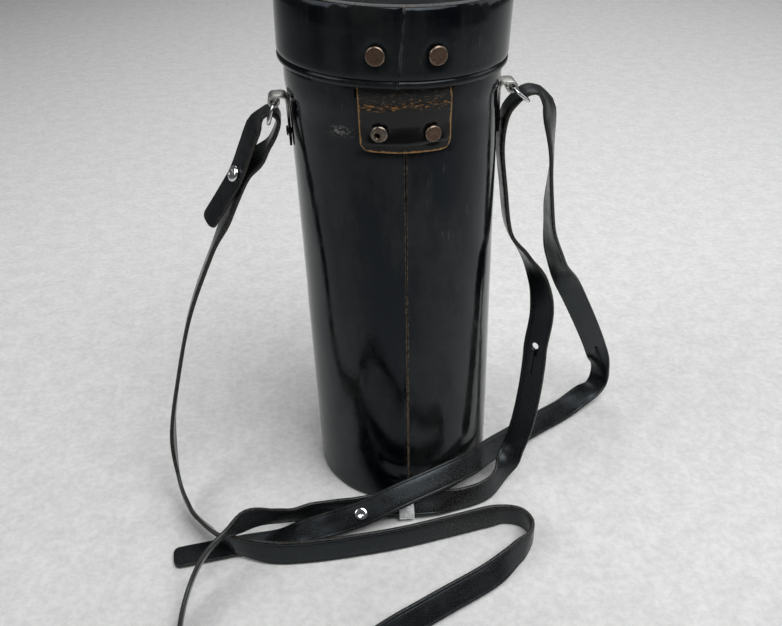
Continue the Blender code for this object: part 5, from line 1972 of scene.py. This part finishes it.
@dataclass
class Studio:
    """Floor, lights and the photograph's camera."""

    focal_pixels: float = 830.0
    sensor: float = 36.0
    place: Spot = (-39.29 * MM, -393.63 * MM, 357.56 * MM)
    pitch: float = 33.25
    yaw: float = -5.02
    roll: float = -1.93

    def build(self) -> None:
        """Make the floor, the camera and the lights."""
        self.build_floor()
        self.build_camera()
        self.build_lights()

    def build_floor(self) -> None:
        """Wide pale floor."""
        bm = bmesh.new()
        bmesh.ops.create_grid(bm, x_segments=4, y_segments=4, size=4.0)
        floor = Workshop.piece("floor", bm, PAPER)

    def build_camera(self) -> None:
        """Camera at the photograph's place and angle."""
        camera = bpy.data.cameras.new("photo_camera")
        camera.sensor_fit = "HORIZONTAL"
        camera.sensor_width = self.sensor
        camera.lens = self.focal_pixels * self.sensor / IMAGE_WIDTH
        camera.clip_start = 0.01
        pitch, yaw, roll = (math.radians(turn) for turn in (self.pitch, self.yaw, self.roll))
        level = Vector((-math.sin(yaw), math.cos(yaw), 0.0))
        side = Vector((math.cos(yaw), math.sin(yaw), 0.0))
        ahead = level * math.cos(pitch) - Vector((0.0, 0.0, math.sin(pitch)))
        above = level * math.sin(pitch) + Vector((0.0, 0.0, math.cos(pitch)))
        right = side * math.cos(roll) + above * math.sin(roll)
        up = above * math.cos(roll) - side * math.sin(roll)
        turn = Matrix((right, up, -ahead)).transposed().to_4x4()
        holder = Workshop.link("photo_camera", camera)
        holder.matrix_world = Matrix.Translation(self.place) @ turn
        bpy.context.scene.camera = holder

    def build_lights(self) -> None:
        """Soft studio light from above and from both sides."""
        world = bpy.data.worlds.new("soft_room")
        bpy.context.scene.world = world
        world.use_nodes = True
        sky = world.node_tree.nodes["Background"]
        sky.inputs["Color"].default_value = (0.96, 0.98, 1.0, 1.0)
        sky.inputs["Strength"].default_value = 0.1
        self.panel("main_panel", (0.45, -0.42, 1.3), aim=(0.1, 0.25, 0.0), size=1.0, spread=100.0, power=5.4)
        self.panel("back_panel", (0.35, 1.3, 1.4), aim=(0.25, 0.75, 0.0), size=1.2, spread=120.0, power=4.0)
        self.panel("left_panel", (-1.25, -0.2, 1.15), aim=(-0.1, 0.2, 0.0), size=0.9, spread=110.0, power=2.6)
        self.panel("right_panel", (1.5, 0.25, 0.8), aim=(0.1, 0.15, 0.1), size=0.9, spread=120.0, power=1.5)

    @staticmethod
    def panel(name: str, place: Spot, aim: Spot, size: float, spread: float, power: float) -> None:
        """Square soft light aimed at a point.

        Args:
            name: Light name.
            place: Where it hangs.
            aim: What it faces.
            size: Side length.
            spread: Opening of its beam in degrees.
            power: Watts.
        """
        light = bpy.data.lights.new(name, "AREA")
        light.shape = "SQUARE"
        light.size = size
        light.spread = math.radians(spread)
        light.energy = power
        holder = Workshop.link(name, light)
        holder.location = place
        holder.rotation_euler = (Vector(aim) - Vector(place)).to_track_quat("-Z", "Y").to_euler()


def build_tabs() -> None:
    """Hinge leather at the back and closing tab at the front."""
    outside = ((1.3, 216.2), (1.3, 228.0), (2.45, 236.0), (2.5, 239.2), (0.35, 244.4), (0.35, 269.0))
    LeatherTab(
        name="hinge_leather_tab", finish=HINGE, facing=0.0, half_width=21.0 * MM, taper=0.7 * MM,
        corner=4.6 * MM, thickness=1.9 * MM,
        rows=[(CASE_RADIUS + out * MM, level * MM) for out, level in outside],
        crease=239.0 * MM, crack_line=237.4 * MM, crack_spread=2.1 * MM, lower=Body.CASE, upper=Body.LID,
        nodes=("hinge_lower_leaf", "hinge_upper_leaf"), fold=220.2 * MM, skew=0.035,
        rivets=tuple((s * HINGE_RIVET_SIDE, hinge_rivet_height(s), 4.0 * MM) for s in SIDES.values()),
    ).build()
    LeatherTab(
        name="closing_leather_tab", finish=TAB, facing=math.pi, half_width=12.0 * MM, taper=0.0,
        corner=11.0 * MM, thickness=1.9 * MM,
        rows=[(LID_RADIUS + 1.3 * MM, level * MM) for level in (212.0, 240.0, 270.0)],
        crease=246.4 * MM, crack_line=246.4 * MM, crack_spread=1.0 * MM, lower=Body.FLAP, upper=Body.LID,
        nodes=("closing_tab_flap", "closing_tab_anchor"),
        rivets=tuple((s * TAB_RIVET_SIDE, TAB_RIVET_HEIGHT, 3.2 * MM) for s in SIDES.values()),
    ).build()


def build_rivets() -> None:
    """Rivets of the hinge and of the closing tab; the left hinge rivet's cap is broken."""
    for name, side in SIDES.items():
        broken = name == "left"
        WallRivet(
            name="lid_rivet_" + name, finish=COPPER, body=Body.LID, angle=side * LID_RIVET_SIDE / LID_RADIUS,
            height=LID_RIVET_HEIGHT, seat=LID_RADIUS + WALL_GAP, inner=LID_RADIUS - 5.0 * MM,
            diameter=8.4 * MM, lean=LID_LEAN,
        ).build()
        WallRivet(
            name="hinge_rivet_" + name, finish=SPLIT_COPPER if broken else COPPER, body=Body.CASE,
            angle=side * HINGE_RIVET_SIDE / (CASE_RADIUS + 2.3 * MM), height=hinge_rivet_height(side),
            seat=CASE_RADIUS + 2.6 * MM, inner=CASE_RADIUS - 2.5 * MM, diameter=7.5 * MM, split_cap=broken,
        ).build()
        WallRivet(
            name="closing_tab_rivet_" + name, finish=COPPER, body=Body.LID,
            angle=math.pi + side * TAB_RIVET_SIDE / LID_RADIUS, height=TAB_RIVET_HEIGHT,
            seat=LID_RADIUS + 2.6 * MM, inner=LID_RADIUS - 2.65 * MM, diameter=6.0 * MM,
        ).build()


def main() -> None:
    """Build the studio, then the strap, then the case and its fittings."""
    logging.basicConfig(level=logging.INFO)
    bpy.context.scene.view_settings.view_transform = "Standard"
    Studio().build()
    ShoulderStrap().build()
    CaseBody().build()
    Lid().build()
    build_tabs()
    build_rivets()
    StrapLug(side_name="left", side=-1.0, lean=20.0, body=Body.CASE, ring_body=Body.LEFT_RING).build()
    StrapLug(side_name="right", side=1.0, lean=50.0, body=Body.CASE, ring_body=Body.RIGHT_RING).build()
    PressStud().build()


if __name__ == "__main__":
    main()
